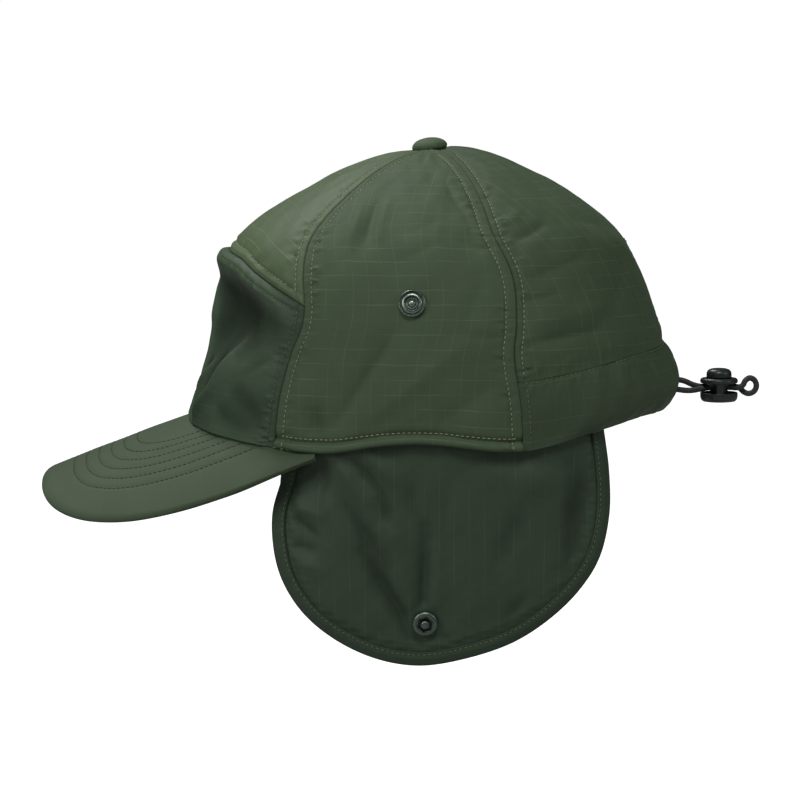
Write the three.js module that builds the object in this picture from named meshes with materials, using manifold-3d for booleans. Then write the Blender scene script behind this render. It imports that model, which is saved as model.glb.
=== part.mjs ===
// Padded cap with a peak, two earflaps and a drawcord hem. Millimetres, +Z up.
// The origin is the middle of the head opening. The peak points to -X and the wearer's left is -Y.
import * as THREE from 'three';
import { mergeVertices } from 'three/addons/utils/BufferGeometryUtils.js';
import Module from 'manifold-3d';

// Driving dimensions
const CROWN_CENTRE_X = -1;
const CROWN_GRIP = 3.6;
const PIECE_GAP = 0.3;
const SEAM_GAP = 0.66;
const RIM_SHELF_RISE = 0.12;
const SEAM_SINK = 1.2;
const SEAM_CREST = 0.3;
const PLAIN_SINK = 1.3;
const PLAIN_REACH = 8;
const THINNEST_WALL = 1.2;
const STITCH_ROW = 3.8;
const PUFF_REACH = 13;
const ROLL_HEIGHT = 3.4;
const BUTTON_HOLE_RISE = 0.985;
const CHANNEL_BULGE = 2.4;
const CHANNEL_SINK = 1.3;
const CHANNEL_TUCK = { depth: 0.7, reach: 5 };
const CHANNEL_GRIP = 3.2;
const CHANNEL_SPREAD = 62;
const GATHER = { height: 0.35, perTurn: 14 };
const PEAK_REACH = 120.8;
const PEAK_HALF_WIDTH = 78.2;
const PEAK_TAIL_X = -46.5;
const PEAK_SQUARENESS = 3.4;
const PEAK_TAIL_ANGLE = 64;
const PEAK_TAIL_STOP = 0.985;
const PEAK_SEAT_GAP = 0.75;
const PEAK_TUCK = 2.2;
const PEAK_ARCH_RADIUS = 105.5;
const PEAK_RIDGE = { x: -107.6, z: 5.8, slope: 0.414 };
const PEAK_THICKNESS = 3.4;
const FLAP_INSET = 4.2;
const FLAP_PADDING = 4;
const FLAP_EDGE = 2;
const FLAP_TOP_RISE = 7;
const BINDING_WIDTH = 6;
const BINDING_WALL = 0.9;
const BINDING_SLOT = 2.6;
const BUTTON_SIDES = 16;
const BUTTON_SEAT = 120.1;
const BUTTON_TILT = 7;
const CORD_DIAMETER = 2.5;
const CORD_HOLE = { length: 12, shift: 5.5 };

// Crown rings from the rim to the apex. The front and back ends of a ring are given as x and z in
// the middle plane, its side as a half width and z, and square is its superellipse exponent.
const CROWN_RINGS = [
  { at: 0.00, frontX: -104.5, frontZ: 6.5, sideY: 83.0, sideZ: 0.7, backX: 101.0, backZ: 9.0, square: 2.35 },
  { at: 0.12, frontX: -100.0, frontZ: 20.5, sideY: 85.0, sideZ: 19.0, backX: 104.8, backZ: 22.0, square: 2.35 },
  { at: 0.24, frontX: -95.2, frontZ: 37.5, sideY: 85.5, sideZ: 37.5, backX: 100.0, backZ: 37.5, square: 2.3 },
  { at: 0.36, frontX: -92.9, frontZ: 53.5, sideY: 84.0, sideZ: 55.0, backX: 94.8, backZ: 53.5, square: 2.25 },
  { at: 0.48, frontX: -91.2, frontZ: 71.0, sideY: 79.5, sideZ: 71.0, backX: 87.8, backZ: 70.8, square: 2.2 },
  { at: 0.58, frontX: -83.4, frontZ: 82.3, sideY: 72.5, sideZ: 83.5, backX: 80.7, backZ: 84.0, square: 2.15 },
  { at: 0.68, frontX: -69.4, frontZ: 93.2, sideY: 62.0, sideZ: 95.0, backX: 69.4, backZ: 94.5, square: 2.1 },
  { at: 0.78, frontX: -52.6, frontZ: 103.2, sideY: 48.5, sideZ: 105.3, backX: 53.2, backZ: 105.1, square: 2.05 },
  { at: 0.86, frontX: -37.8, frontZ: 110.8, sideY: 35.0, sideZ: 112.5, backX: 38.2, backZ: 112.9, square: 2.0 },
  { at: 0.93, frontX: -21.9, frontZ: 116.5, sideY: 20.0, sideZ: 117.9, backX: 22.1, backZ: 119.2, square: 2.0 },
  { at: 0.97, frontX: -11.0, frontZ: 119.0, sideY: 9.5, sideZ: 120.2, backX: 9.5, backZ: 121.3, square: 2.0 },
  { at: 1.00, frontX: -1.0, frontZ: 120.4, sideY: 0.0, sideZ: 120.4, backX: -1.0, backZ: 120.4, square: 2.0 },
];
const RIM_RISE_REACH = 0.24;

// Height of the rim's edge by angle from the front, in degrees.
const RIM_EDGE = [
  { at: 0, z: 6.5 }, { at: 28, z: 3.0 }, { at: 47, z: -0.1 }, { at: 65, z: -2.7 }, { at: 80, z: 1.2 },
  { at: 90, z: 1.5 }, { at: 111, z: -1.9 }, { at: 128, z: 3.9 }, { at: 150, z: 8.9 }, { at: 180, z: 7.2 },
];

// Angle of the seams in front of and behind each side panel, by rise.
const SEAM_ANGLES = [
  { at: 0.0, front: 52.8, back: 111.5 },
  { at: 0.13, front: 52.3, back: 110.0 },
  { at: 0.24, front: 53.4, back: 109.5 },
  { at: 0.34, front: 56.0, back: 111.0 },
  { at: 0.48, front: 54.9, back: 112.0 },
  { at: 0.63, front: 51.4, back: 109.2 },
  { at: 0.8, front: 50.2, back: 111.0 },
  { at: 1.0, front: 50.0, back: 114.0 },
];

// Rise of the front cross seam and of the hem tunnel's top edge, by angle.
const CROSS_SEAM = [
  { at: 0, rise: 0.54 }, { at: 26, rise: 0.517 }, { at: 37, rise: 0.476 }, { at: 51, rise: 0.411 },
  { at: 60, rise: 0.36 },
];
const CHANNEL_TOP = [
  { at: 105, rise: 0.167 }, { at: 119, rise: 0.187 }, { at: 130, rise: 0.206 }, { at: 146, rise: 0.232 },
  { at: 180, rise: 0.245 },
];

// Soft folds of the crown: each runs between two places given as angle and rise, positive heights
// stand proud, and spread is the half width in millimetres.
const CROWN_FOLDS = [
  { fromAngle: 32, fromRise: 0.26, toAngle: 28, toRise: 0.13, spread: 6, height: 2.2 },
  { fromAngle: 28, fromRise: 0.13, toAngle: 19, toRise: 0.03, spread: 6, height: 2.2 },
  { fromAngle: 22, fromRise: 0.21, toAngle: 18, toRise: 0.13, spread: 5, height: -1.6 },
  { fromAngle: 80, fromRise: 0.30, toAngle: 67.5, toRise: 0.07, spread: 7, height: -1.1 },
  { fromAngle: 99, fromRise: 0.29, toAngle: 77, toRise: 0.09, spread: 8, height: 0.8 },
  { fromAngle: 104, fromRise: 0.17, toAngle: 92, toRise: 0.06, spread: 6, height: -0.8 },
  { fromAngle: 68.5, fromRise: 0.73, toAngle: 72, toRise: 0.57, spread: 6, height: -0.7 },
  { fromAngle: 130, fromRise: 0.30, toAngle: 158, toRise: 0.52, spread: 9, height: -0.9 },
];
const FOLD_MM_PER_RADIAN = 92;
const FOLD_MM_PER_RISE = 165;

// Flap outline, downwards: x of its front and back edge at each height.
const FLAP_ROWS = [
  { z: 6.0, frontX: -58.5, backX: 70.8 }, { z: -12.4, frontX: -62.2, backX: 73.2 },
  { z: -30.0, frontX: -66.9, backX: 73.4 }, { z: -47.7, frontX: -65.9, backX: 69.4 },
  { z: -59.9, frontX: -61.7, backX: 61.9 }, { z: -72.3, frontX: -52.9, backX: 49.6 },
  { z: -83.1, frontX: -39.0, backX: 33.2 }, { z: -90.3, frontX: -22.6, backX: 11.6 },
];
const FLAP_TIP = { x: -6, z: -92.8 };
const FLAP_LOW = { z: -94, y: 72.2, bend: 0.0011 };
const FLAP_CURL = { startZ: -54, depth: 2.4 };
const FLAP_TUCK = { startX: -34, endX: -62, depth: 5.2 };
const FLAP_BACK_TUCK = { startX: 50, endX: 72, depth: 1.0 };
const FLAP_SPINE_END = { x: -2, z: -58 };
const FLAP_SPOKES = 28;

// Crown button and its shank through the crown, as a turned profile.
const BUTTON_PROFILE = [
  { r: 0, h: -4.5 }, { r: 2.6, h: -4.5 }, { r: 2.6, h: 0 }, { r: 6.8, h: 0 }, { r: 7.5, h: 1.0 },
  { r: 7.3, h: 2.4 }, { r: 6.0, h: 3.9 }, { r: 3.6, h: 4.9 }, { r: 0, h: 5.3 },
];

// Snap halves as turned profiles: radius and height above the cloth.
const CROWN_SNAP_PROFILE = [
  { r: 0, h: 1.0 }, { r: 1.2, h: 0.9 }, { r: 1.7, h: 0.3 }, { r: 2.4, h: 0.3 }, { r: 2.5, h: 1.5 },
  { r: 3.2, h: 1.5 }, { r: 3.5, h: 0.6 }, { r: 4.6, h: 0.6 }, { r: 4.9, h: 1.2 }, { r: 5.6, h: 0.9 },
  { r: 5.6, h: 0.0 },
];
const FLAP_SNAP_PROFILE = [
  { r: 0, h: 3.1 }, { r: 1.3, h: 2.9 }, { r: 1.9, h: 2.2 }, { r: 2.0, h: 0.8 }, { r: 3.0, h: 0.8 },
  { r: 3.2, h: 1.9 }, { r: 4.5, h: 2.0 }, { r: 5.4, h: 1.3 }, { r: 5.45, h: 0.0 },
];
const SNAP_SIDES = 12;
const CROWN_SNAP_SEAT = 0.6;
const SNAP_SHANK_RADIUS = 1.9;
const SNAP_BACK_RADIUS = 4.6;
const SNAP_BACK_THICKNESS = 1.1;
const CROWN_SNAP_PLACE = { x: -8.9, z: 59.7 };
const FLAP_SNAP_PLACE = { x: -3.4, z: -73.9 };

// Lock on the drawcord: its vertical axis, and heights up it.
const LOCK = {
  x: 123.3, bottom: 10.8, floor: 11.9, cupTop: 14.7, flangeBottom: 18.7, flangeTop: 21.0,
  radius: 8.05, cupBore: 4.3, flangeBore: 5.75, pillarWidth: 2.9, pillarInner: 5.8, pillarOuter: 7.4,
};
const PLUNGER = {
  radius: 3.9, bottom: 14.7, slotBottom: 15.5, slotTop: 21.2, slotWidth: 5.7,
  headRadius: 5.4, headBottom: 21.2, top: 25.2,
};
const LOCK_SIDES = 20;

// Drawcord's centre line, from the lower hole in the hem through the lock, round and back.
const CORD_ROUTE = [
  [102.6, -2.4, 16.4], [105.6, -2.4, 16.2], [108.6, -2.2, 15.8], [111.6, -1.9, 15.8], [114.8, -1.6, 16.3],
  [118.5, -1.42, 16.95], [123.3, -1.4, 17.05], [128.2, -1.4, 17.05], [131.0, -1.4, 16.95], [133.3, -1.4, 17.8],
  [134.6, -1.2, 20.0], [136.5, -0.7, 21.0], [138.5, -0.1, 20.0], [139.4, 0.3, 17.6], [138.5, 0.7, 15.2],
  [136.2, 1.1, 14.1], [134.1, 1.3, 14.8], [132.7, 1.4, 16.1], [131.0, 1.4, 16.95], [128.2, 1.4, 17.05],
  [123.3, 1.4, 17.05], [118.5, 1.42, 17.05], [114.8, 1.6, 17.2], [111.6, 1.9, 18.1], [108.6, 2.2, 19.4],
  [105.6, 2.4, 20.0], [102.6, 2.4, 20.1],
];
const CORD_STEPS = 46;
const CORD_SIDES = 8;

const COLOURS = {
  side: { color: 0x48543f, roughness: 0.86 },
  frontUpper: { color: 0x5f6d55, roughness: 0.84 },
  frontLower: { color: 0x2b342b, roughness: 0.7 },
  back: { color: 0x35412f, roughness: 0.86 },
  peak: { color: 0x485846, roughness: 0.86 },
  flap: { color: 0x2b372f, roughness: 0.88 },
  metal: { color: 0x3a3f3c, roughness: 0.35, metalness: 0.9 },
  cord: { color: 0x2a322c, roughness: 0.9 },
  plastic: { color: 0x262d2b, roughness: 0.45 },
};

const wasm = await Module();
wasm.setup();

const radians = (degrees) => degrees * Math.PI / 180;
const mix = (a, b, t) => a + (b - a) * t;
const clamp01 = (t) => Math.min(1, Math.max(0, t));
const smooth = (t) => clamp01(t) ** 2 * (3 - 2 * clamp01(t));

// Smooth value of one column of a table, between its rows.
function column(table, name, at) {
  const last = table.length - 1;
  const here = Math.min(table[last].at, Math.max(table[0].at, at));
  let row = 0;
  while (row < last - 1 && table[row + 1].at < here) row += 1;
  const slope = (i) => {
    const before = table[Math.max(0, i - 1)];
    const after = table[Math.min(last, i + 1)];
    return (after[name] - before[name]) / (after.at - before.at);
  };
  const span = table[row + 1].at - table[row].at;
  const s = (here - table[row].at) / span;
  const leaving = slope(row) * span * (s ** 3 - 2 * s ** 2 + s);
  const start = table[row][name] * (2 * s ** 3 - 3 * s ** 2 + 1) + leaving;
  const end = table[row + 1][name] * (3 * s ** 2 - 2 * s ** 3) + slope(row + 1) * span * (s ** 3 - s ** 2);
  return start + end;
}

// Angle from the front without its side: 200 degrees round the left is 160 on the right.
const unsided = (angle) => 180 - Math.abs(180 - Math.abs(angle));

// Point of the crown's full outer surface at an angle from the front and a rise from rim to apex.
function crownPoint(angle, rise) {
  const c = Math.cos(radians(angle));
  const s = Math.sin(radians(angle));
  const square = column(CROWN_RINGS, 'square', rise);
  const stretch = (Math.abs(c) ** square + Math.abs(s) ** square) ** (-1 / square);
  const end = c >= 0 ? 'front' : 'back';
  const reach = column(CROWN_RINGS, `${end}X`, rise) - CROWN_CENTRE_X;
  const ringZ = (at) => mix(column(CROWN_RINGS, 'sideZ', at), column(CROWN_RINGS, `${end}Z`, at), c * c);
  const rimLift = column(RIM_EDGE, 'z', unsided(angle)) - ringZ(0);
  return new THREE.Vector3(
    CROWN_CENTRE_X + reach * stretch * Math.abs(c),
    -column(CROWN_RINGS, 'sideY', rise) * stretch * s,
    ringZ(rise) + rimLift * Math.max(0, 1 - rise / RIM_RISE_REACH) ** 1.5,
  );
}

function crownNormal(angle, rise) {
  const step = 0.004;
  const low = Math.min(rise, 1 - 2 * step);
  const across = crownPoint(angle + 0.5, low).sub(crownPoint(angle - 0.5, low));
  const up = crownPoint(angle, low + step).sub(crownPoint(angle, Math.max(0, low - step)));
  return across.cross(up).normalize();
}

// Height of the soft folds at a place on the crown, the same on both sides.
function foldHeight(angle, rise) {
  const x = radians(unsided(angle)) * FOLD_MM_PER_RADIAN;
  const y = rise * FOLD_MM_PER_RISE;
  let height = 0;
  for (const fold of CROWN_FOLDS) {
    const x0 = radians(fold.fromAngle) * FOLD_MM_PER_RADIAN;
    const y0 = fold.fromRise * FOLD_MM_PER_RISE;
    const dx = radians(fold.toAngle) * FOLD_MM_PER_RADIAN - x0;
    const dy = fold.toRise * FOLD_MM_PER_RISE - y0;
    const along = clamp01(((x - x0) * dx + (y - y0) * dy) / (dx * dx + dy * dy));
    const distance = Math.hypot(x - x0 - along * dx, y - y0 - along * dy);
    height += fold.height * Math.exp(-((distance / fold.spread) ** 2));
  }
  return height;
}

// Relief beside a seam: a sunk line, a raised strip, a row of stitches, then the puffed field.
function seamRelief(distance) {
  const sink = -SEAM_SINK * (1 - smooth(distance / PUFF_REACH));
  const crest = SEAM_CREST * Math.exp(-(((distance - STITCH_ROW / 2) / 1.3) ** 2));
  return sink + crest;
}

// Relief beside a seam without a strip, such as the hem tunnel's top edge.
function plainRelief(distance) {
  return -PLAIN_SINK * (1 - smooth(distance / PLAIN_REACH));
}

function rollRelief(distance) {
  const roll = distance < ROLL_HEIGHT ? 1.1 * Math.sin(Math.PI * distance / ROLL_HEIGHT) ** 0.7 : 0;
  return roll - 1.0 * Math.exp(-(((distance - ROLL_HEIGHT - 0.8) / 2.2) ** 2));
}

// Closed solid of a sheet with thickness: grids of outer and inner points, joined round the edge.
function sheetSolid(columns, rows, outer, inner) {
  const positions = [];
  const index = [];
  for (const face of [outer, inner]) {
    for (const v of rows) {
      for (const u of columns) {
        const p = face(u, v);
        positions.push(p.x, p.y, p.z);
      }
    }
  }
  const wide = columns.length;
  const layer = wide * rows.length;
  const quad = (a, b, c, d) => index.push(a, b, c, a, c, d);
  for (let j = 0; j < rows.length - 1; j += 1) {
    for (let i = 0; i < wide - 1; i += 1) {
      const a = j * wide + i;
      quad(a, a + 1, a + wide + 1, a + wide);
      quad(layer + a, layer + a + wide, layer + a + wide + 1, layer + a + 1);
    }
  }
  for (let i = 0; i < wide - 1; i += 1) {
    const top = (rows.length - 1) * wide + i;
    quad(i + 1, i, layer + i, layer + i + 1);
    quad(top, top + 1, layer + top + 1, layer + top);
  }
  for (let j = 0; j < rows.length - 1; j += 1) {
    const left = j * wide;
    const right = left + wide - 1;
    quad(left, left + wide, layer + left + wide, layer + left);
    quad(right + wide, right, layer + right, layer + right + wide);
  }
  return closedGeometry(positions, index);
}

function closedGeometry(positions, index) {
  const geometry = new THREE.BufferGeometry();
  geometry.setAttribute('position', new THREE.Float32BufferAttribute(positions, 3));
  geometry.setIndex(index);
  return geometry;
}

function flipped(geometry) {
  const index = Array.from(geometry.index.array);
  for (let i = 0; i < index.length; i += 3) [index[i], index[i + 1]] = [index[i + 1], index[i]];
  geometry.setIndex(index);
  return geometry;
}

// The same solid on the other side of the middle plane.
function mirrored(geometry) {
  return flipped(geometry.clone().scale(1, -1, 1));
}

function toSolid(geometry) {
  const bare = geometry.clone();
  for (const name of Object.keys(bare.attributes)) {
    if (name !== 'position') bare.deleteAttribute(name);
  }
  const merged = mergeVertices(bare, 1e-4);
  return new wasm.Manifold(new wasm.Mesh({
    numProp: 3,
    vertProperties: new Float32Array(merged.attributes.position.array),
    triVerts: new Uint32Array(merged.index.array),
  }));
}

// Back to a geometry, without the slivers that a cut can leave.
function toGeometry(solid) {
  const mesh = solid.getMesh();
  const raw = closedGeometry(Array.from(mesh.vertProperties), Array.from(mesh.triVerts));
  const merged = mergeVertices(raw, 2e-3);
  const index = [];
  for (let i = 0; i < merged.index.count; i += 3) {
    const [a, b, c] = merged.index.array.slice(i, i + 3);
    if (a !== b && b !== c && c !== a) index.push(a, b, c);
  }
  return closedGeometry(Array.from(merged.attributes.position.array), index);
}

// Sample places over a width of 0 to 1, close together at both ends.
function samples(edgeSteps, count) {
  const last = edgeSteps[edgeSteps.length - 1];
  const middle = [];
  for (let i = 1; i < count; i += 1) middle.push(mix(last, 1 - last, i / count));
  return [...edgeSteps, ...middle, ...edgeSteps.map((step) => 1 - step).reverse()];
}

// One crown panel between two seams and between a lower and an upper edge, given as functions.
// edges gives the sewn edges and the relief beside each.
function crownPanel({ from, to, bottom, top, columns, rows, edges, extra = () => 0, inward = CROWN_GRIP }) {
  const place = (u, v) => {
    const guess = mix(bottom((from(0.2) + to(0.2)) / 2), top((from(0.2) + to(0.2)) / 2), v);
    let rise = guess;
    let angle = 0;
    for (let i = 0; i < 4; i += 1) {
      angle = mix(from(rise), to(rise), u);
      rise = mix(bottom(angle), top(angle), v);
    }
    const perDegree = crownPoint(angle, rise).distanceTo(crownPoint(angle + 1, rise));
    return { angle: angle + mix(1, -1, u) * SEAM_GAP / 2 / perDegree, rise };
  };
  const relief = ({ angle, rise }) => {
    const here = crownPoint(angle, rise);
    const edgePlace = {
      from: () => crownPoint(from(rise), rise),
      to: () => crownPoint(to(rise), rise),
      top: () => crownPoint(angle, top(angle)),
      bottom: () => crownPoint(angle, bottom(angle)),
    };
    let seams = 0;
    let nearest = PUFF_REACH;
    for (const [edge, beside] of Object.entries(edges)) {
      const distance = here.distanceTo(edgePlace[edge]());
      seams = Math.min(seams, beside(distance));
      nearest = Math.min(nearest, distance);
    }
    return seams + smooth(nearest / PUFF_REACH) * foldHeight(angle, rise) + extra(angle, rise, here);
  };
  const outer = (u, v) => {
    const at = place(u, v);
    return crownPoint(at.angle, at.rise).addScaledVector(crownNormal(at.angle, at.rise), relief(at));
  };
  const inner = (u, v) => {
    const at = place(u, v);
    const direction = crownNormal(at.angle, at.rise);
    direction.z *= smooth(at.rise / RIM_SHELF_RISE);
    const wall = Math.max(inward, THINNEST_WALL - relief(at));
    return crownPoint(at.angle, at.rise).addScaledVector(direction.normalize(), -wall);
  };
  return sheetSolid(columns, rows, outer, inner);
}

const seamFront = (rise) => column(SEAM_ANGLES, 'front', rise);
const seamBack = (rise) => column(SEAM_ANGLES, 'back', rise);
const crossSeam = (angle) => column(CROSS_SEAM, 'rise', unsided(angle));
const channelTop = (angle) => column(CHANNEL_TOP, 'rise', unsided(angle));
const GAP_RISE = SEAM_GAP / 2 / FOLD_MM_PER_RISE;
const rim = () => 0;
const apex = () => BUTTON_HOLE_RISE;

// A roll hangs over below the cross seam, the cloth falls away under it, then swells back.
function underRoll(angle, rise) {
  const below = (crossSeam(angle) - rise) * FOLD_MM_PER_RISE;
  const away = Math.abs(angle);
  const bell = (distance, width) => Math.exp(-((distance / width) ** 2));
  const roll = mix(2.9, 1.3, smooth(away / 30)) * (1 - smooth((away - 42) / 10)) * bell(below - 5.5, 4.6);
  const nip = (1.5 * bell(below - 16, 5.5) - 1.2 * bell(below - 33, 8)) * (1 - smooth((away - 8) / 14));
  const depth = 8.2 * smooth((away - 5) / 15) * (1 - 0.75 * smooth((away - 33) / 14));
  const across = smooth((away - 20) / 30);
  const swell = 1 - smooth((below - mix(32, 14, across)) / mix(34, 26, across));
  return roll - nip - depth * smooth((below - 6) / 20) * swell;
}

function frontPanelLower() {
  return crownPanel({
    from: (rise) => -seamFront(rise),
    to: seamFront,
    bottom: rim,
    top: (angle) => crossSeam(angle) - GAP_RISE,
    columns: samples([0, 0.012, 0.03, 0.07], 11),
    rows: [0, 0.07, 0.2, 0.33, 0.46, 0.6, 0.73, 0.85, 0.93, 0.975, 1],
    edges: { from: seamRelief, to: seamRelief, top: seamRelief },
    extra: underRoll,
  });
}

function frontPanelUpper() {
  return crownPanel({
    from: (rise) => -seamFront(rise),
    to: seamFront,
    bottom: (angle) => crossSeam(angle) + GAP_RISE,
    top: apex,
    columns: samples([0, 0.015, 0.04], 10),
    rows: [0, 0.025, 0.06, 0.12, 0.24, 0.37, 0.5, 0.63, 0.76, 0.88, 1],
    edges: { from: seamRelief, to: seamRelief, bottom: seamRelief },
  });
}

function sidePanel() {
  const height = (here, angle) => here.distanceTo(crownPoint(angle, 0));
  return crownPanel({
    from: seamFront,
    to: seamBack,
    bottom: rim,
    top: apex,
    columns: samples([0, 0.02, 0.05], 7),
    rows: [0, 0.008, 0.017, 0.026, 0.045, 0.1, 0.18, 0.26, 0.32, 0.38, 0.45, 0.53, 0.61, 0.7, 0.79, 0.87, 0.94, 1],
    edges: { from: seamRelief, to: seamRelief },
    extra: (angle, rise, here) => rollRelief(height(here, angle)),
  });
}

function backPanel() {
  return crownPanel({
    from: seamBack,
    to: () => 180,
    bottom: (angle) => channelTop(angle) + GAP_RISE,
    top: apex,
    columns: samples([0, 0.02, 0.05], 6),
    rows: [0, 0.03, 0.07, 0.16, 0.3, 0.44, 0.58, 0.72, 0.86, 1],
    edges: { from: seamRelief, to: seamRelief, bottom: plainRelief },
  });
}

// Hem tunnel round the back, with two holes that the drawcord's strands go into.
function drawcordChannel() {
  const bulge = (angle, rise, here) => {
    const low = here.distanceTo(crownPoint(angle, 0));
    const full = crownPoint(angle, channelTop(angle)).distanceTo(crownPoint(angle, 0));
    const ends = smooth((CHANNEL_SPREAD - Math.abs(180 - angle)) / 12);
    const gather = GATHER.height * Math.sin(radians(angle * GATHER.perTurn));
    const swell = ends * (CHANNEL_BULGE + gather) * Math.sin(Math.PI * clamp01(low / full)) ** 0.6;
    const tuck = ends * CHANNEL_TUCK.depth * (1 - smooth(low / CHANNEL_TUCK.reach));
    return swell - tuck - CHANNEL_SINK;
  };
  const tunnel = crownPanel({
    from: seamBack,
    to: (rise) => 360 - seamBack(rise),
    bottom: rim,
    top: (angle) => channelTop(angle) - GAP_RISE,
    columns: samples([0, 0.015], 24),
    rows: [0, 0.07, 0.22, 0.45, 0.68, 0.88, 1],
    edges: {},
    extra: bulge,
    inward: CHANNEL_GRIP,
  });
  let solid = toSolid(tunnel);
  for (const end of [CORD_ROUTE[0], CORD_ROUTE[CORD_ROUTE.length - 1]]) {
    const bore = CORD_DIAMETER / 2 + PIECE_GAP;
    const drill = new THREE.CylinderGeometry(bore, bore, CORD_HOLE.length, 12);
    drill.rotateZ(Math.PI / 2).translate(end[0] + CORD_HOLE.shift, end[1], end[2]);
    solid = solid.subtract(toSolid(drill));
  }
  return toGeometry(solid);
}

function crownButton() {
  const dome = BUTTON_PROFILE.map(({ r, h }) => new THREE.Vector2(r, h));
  return new THREE.LatheGeometry(dome, BUTTON_SIDES);
}

// Peak: plan position of a place along its edge (along) and out from the rim (out).
function peakPlan(along, out) {
  const turn = radians(90 * along);
  const c = Math.abs(Math.cos(turn));
  const s = Math.abs(Math.sin(turn));
  const stretch = (c ** PEAK_SQUARENESS + s ** PEAK_SQUARENESS) ** (-1 / PEAK_SQUARENESS);
  const edge = new THREE.Vector2(
    PEAK_TAIL_X - PEAK_REACH * stretch * c,
    -PEAK_HALF_WIDTH * stretch * s * Math.sign(along),
  );
  const rimAt = crownPoint(PEAK_TAIL_ANGLE * along, 0);
  const tuck = 1 - PEAK_TUCK / Math.hypot(rimAt.x, rimAt.y);
  return new THREE.Vector2(rimAt.x, rimAt.y).multiplyScalar(tuck).lerp(edge, out);
}

function peakHeight(plan) {
  const ridge = PEAK_RIDGE.z + (plan.x - PEAK_RIDGE.x) * PEAK_RIDGE.slope;
  return ridge - PEAK_ARCH_RADIUS + Math.sqrt(PEAK_ARCH_RADIUS ** 2 - plan.y ** 2);
}

function peak() {
  const surface = (along, out) => {
    const plan = peakPlan(along, out);
    const root = peakPlan(along, 0);
    const rimZ = crownPoint(PEAK_TAIL_ANGLE * along, 0).z - PEAK_SEAT_GAP;
    const lift = (rimZ - peakHeight(root)) * (1 - out) ** 2;
    const tail = smooth((Math.abs(along) - 0.8) / 0.2);
    const height = mix(peakHeight(plan) + lift, mix(rimZ, peakHeight(plan), out), tail);
    return new THREE.Vector3(plan.x, plan.y, height);
  };
  const depth = (out) => PEAK_THICKNESS * Math.sqrt(clamp01(1 - Math.max(0, (out - 0.93) / 0.08) ** 2));
  const normal = (along, out) => {
    const e = 0.01;
    const a = Math.min(PEAK_TAIL_STOP, Math.max(-PEAK_TAIL_STOP, along));
    const across = surface(a + e, Math.max(0.1, out)).sub(surface(a - e, Math.max(0.1, out)));
    const outward = surface(a, Math.min(1, out + e)).sub(surface(a, Math.max(0, out - e)));
    const n = outward.cross(across).normalize();
    return n.z < 0 ? n.negate() : n;
  };
  const rows = [0, 0.15, 0.3, 0.46, 0.62, 0.78, 0.9, 0.95, 0.985, 1];
  const columns = [];
  const half = 11;
  for (let i = half; i >= -half; i -= 1) columns.push(PEAK_TAIL_STOP * Math.sin(radians(90 * i / half)));
  const inset = (out) => (PEAK_THICKNESS - depth(out)) / 2;
  const upper = (u, v) => surface(u, v).addScaledVector(normal(u, v), -inset(v));
  const lower = (u, v) => surface(u, v).addScaledVector(normal(u, v), -inset(v) - Math.max(0.5, depth(v)));
  return sheetSolid(columns, rows, upper, lower);
}

// Flap outline from the front top corner round the tip to the back top corner.
function flapOutline() {
  const front = FLAP_ROWS.map((row) => new THREE.Vector3(row.frontX, 0, row.z));
  const back = FLAP_ROWS.map((row) => new THREE.Vector3(row.backX, 0, row.z)).reverse();
  return new THREE.CatmullRomCurve3([...front, new THREE.Vector3(FLAP_TIP.x, 0, FLAP_TIP.z), ...back]);
}

// Distance of the left flap's middle surface from the middle plane.
function flapDistance(x, z) {
  const { sideY, frontX, backX, square } = CROWN_RINGS[0];
  const end = x < CROWN_CENTRE_X ? frontX : backX;
  const reach = (x - CROWN_CENTRE_X) / (end - CROWN_CENTRE_X);
  const rimSide = sideY * (1 - reach ** square) ** (1 / square);
  const tuck = [FLAP_TUCK, FLAP_BACK_TUCK].reduce((sum, { startX, endX, depth }) => (
    sum + depth * smooth((x - startX) / (endX - startX))), 0);
  const top = rimSide - FLAP_INSET - FLAP_PADDING / 2 - tuck;
  const low = FLAP_LOW.y - FLAP_PADDING / 2 - FLAP_LOW.bend * x * x;
  const hang = mix(top, low, smooth((FLAP_TOP_RISE - z) / (FLAP_TOP_RISE - FLAP_LOW.z)));
  return hang - FLAP_CURL.depth * smooth((FLAP_CURL.startZ - z) / (FLAP_CURL.startZ - FLAP_LOW.z));
}

function flapPoint(x, z, offset) {
  const e = 0.5;
  const alongX = new THREE.Vector3(2 * e, flapDistance(x - e, z) - flapDistance(x + e, z), 0);
  const alongZ = new THREE.Vector3(0, flapDistance(x, z - e) - flapDistance(x, z + e), 2 * e);
  const normal = alongX.cross(alongZ).normalize();
  return new THREE.Vector3(x, -flapDistance(x, z), z).addScaledVector(normal, offset);
}

// Outline places evenly spaced, each with its direction into the flap.
function flapEdge(count) {
  const curve = flapOutline();
  curve.arcLengthDivisions = 800;
  const edge = [];
  for (let i = 0; i <= count; i += 1) {
    const at = curve.getPointAt(i / count);
    const tangent = curve.getTangentAt(i / count);
    edge.push({ x: at.x, z: at.z, inX: -tangent.z, inZ: tangent.x });
  }
  edge[0] = { ...edge[0], inX: 1, inZ: 0 };
  edge[count] = { ...edge[count], inX: -1, inZ: 0 };
  return edge;
}

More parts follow.
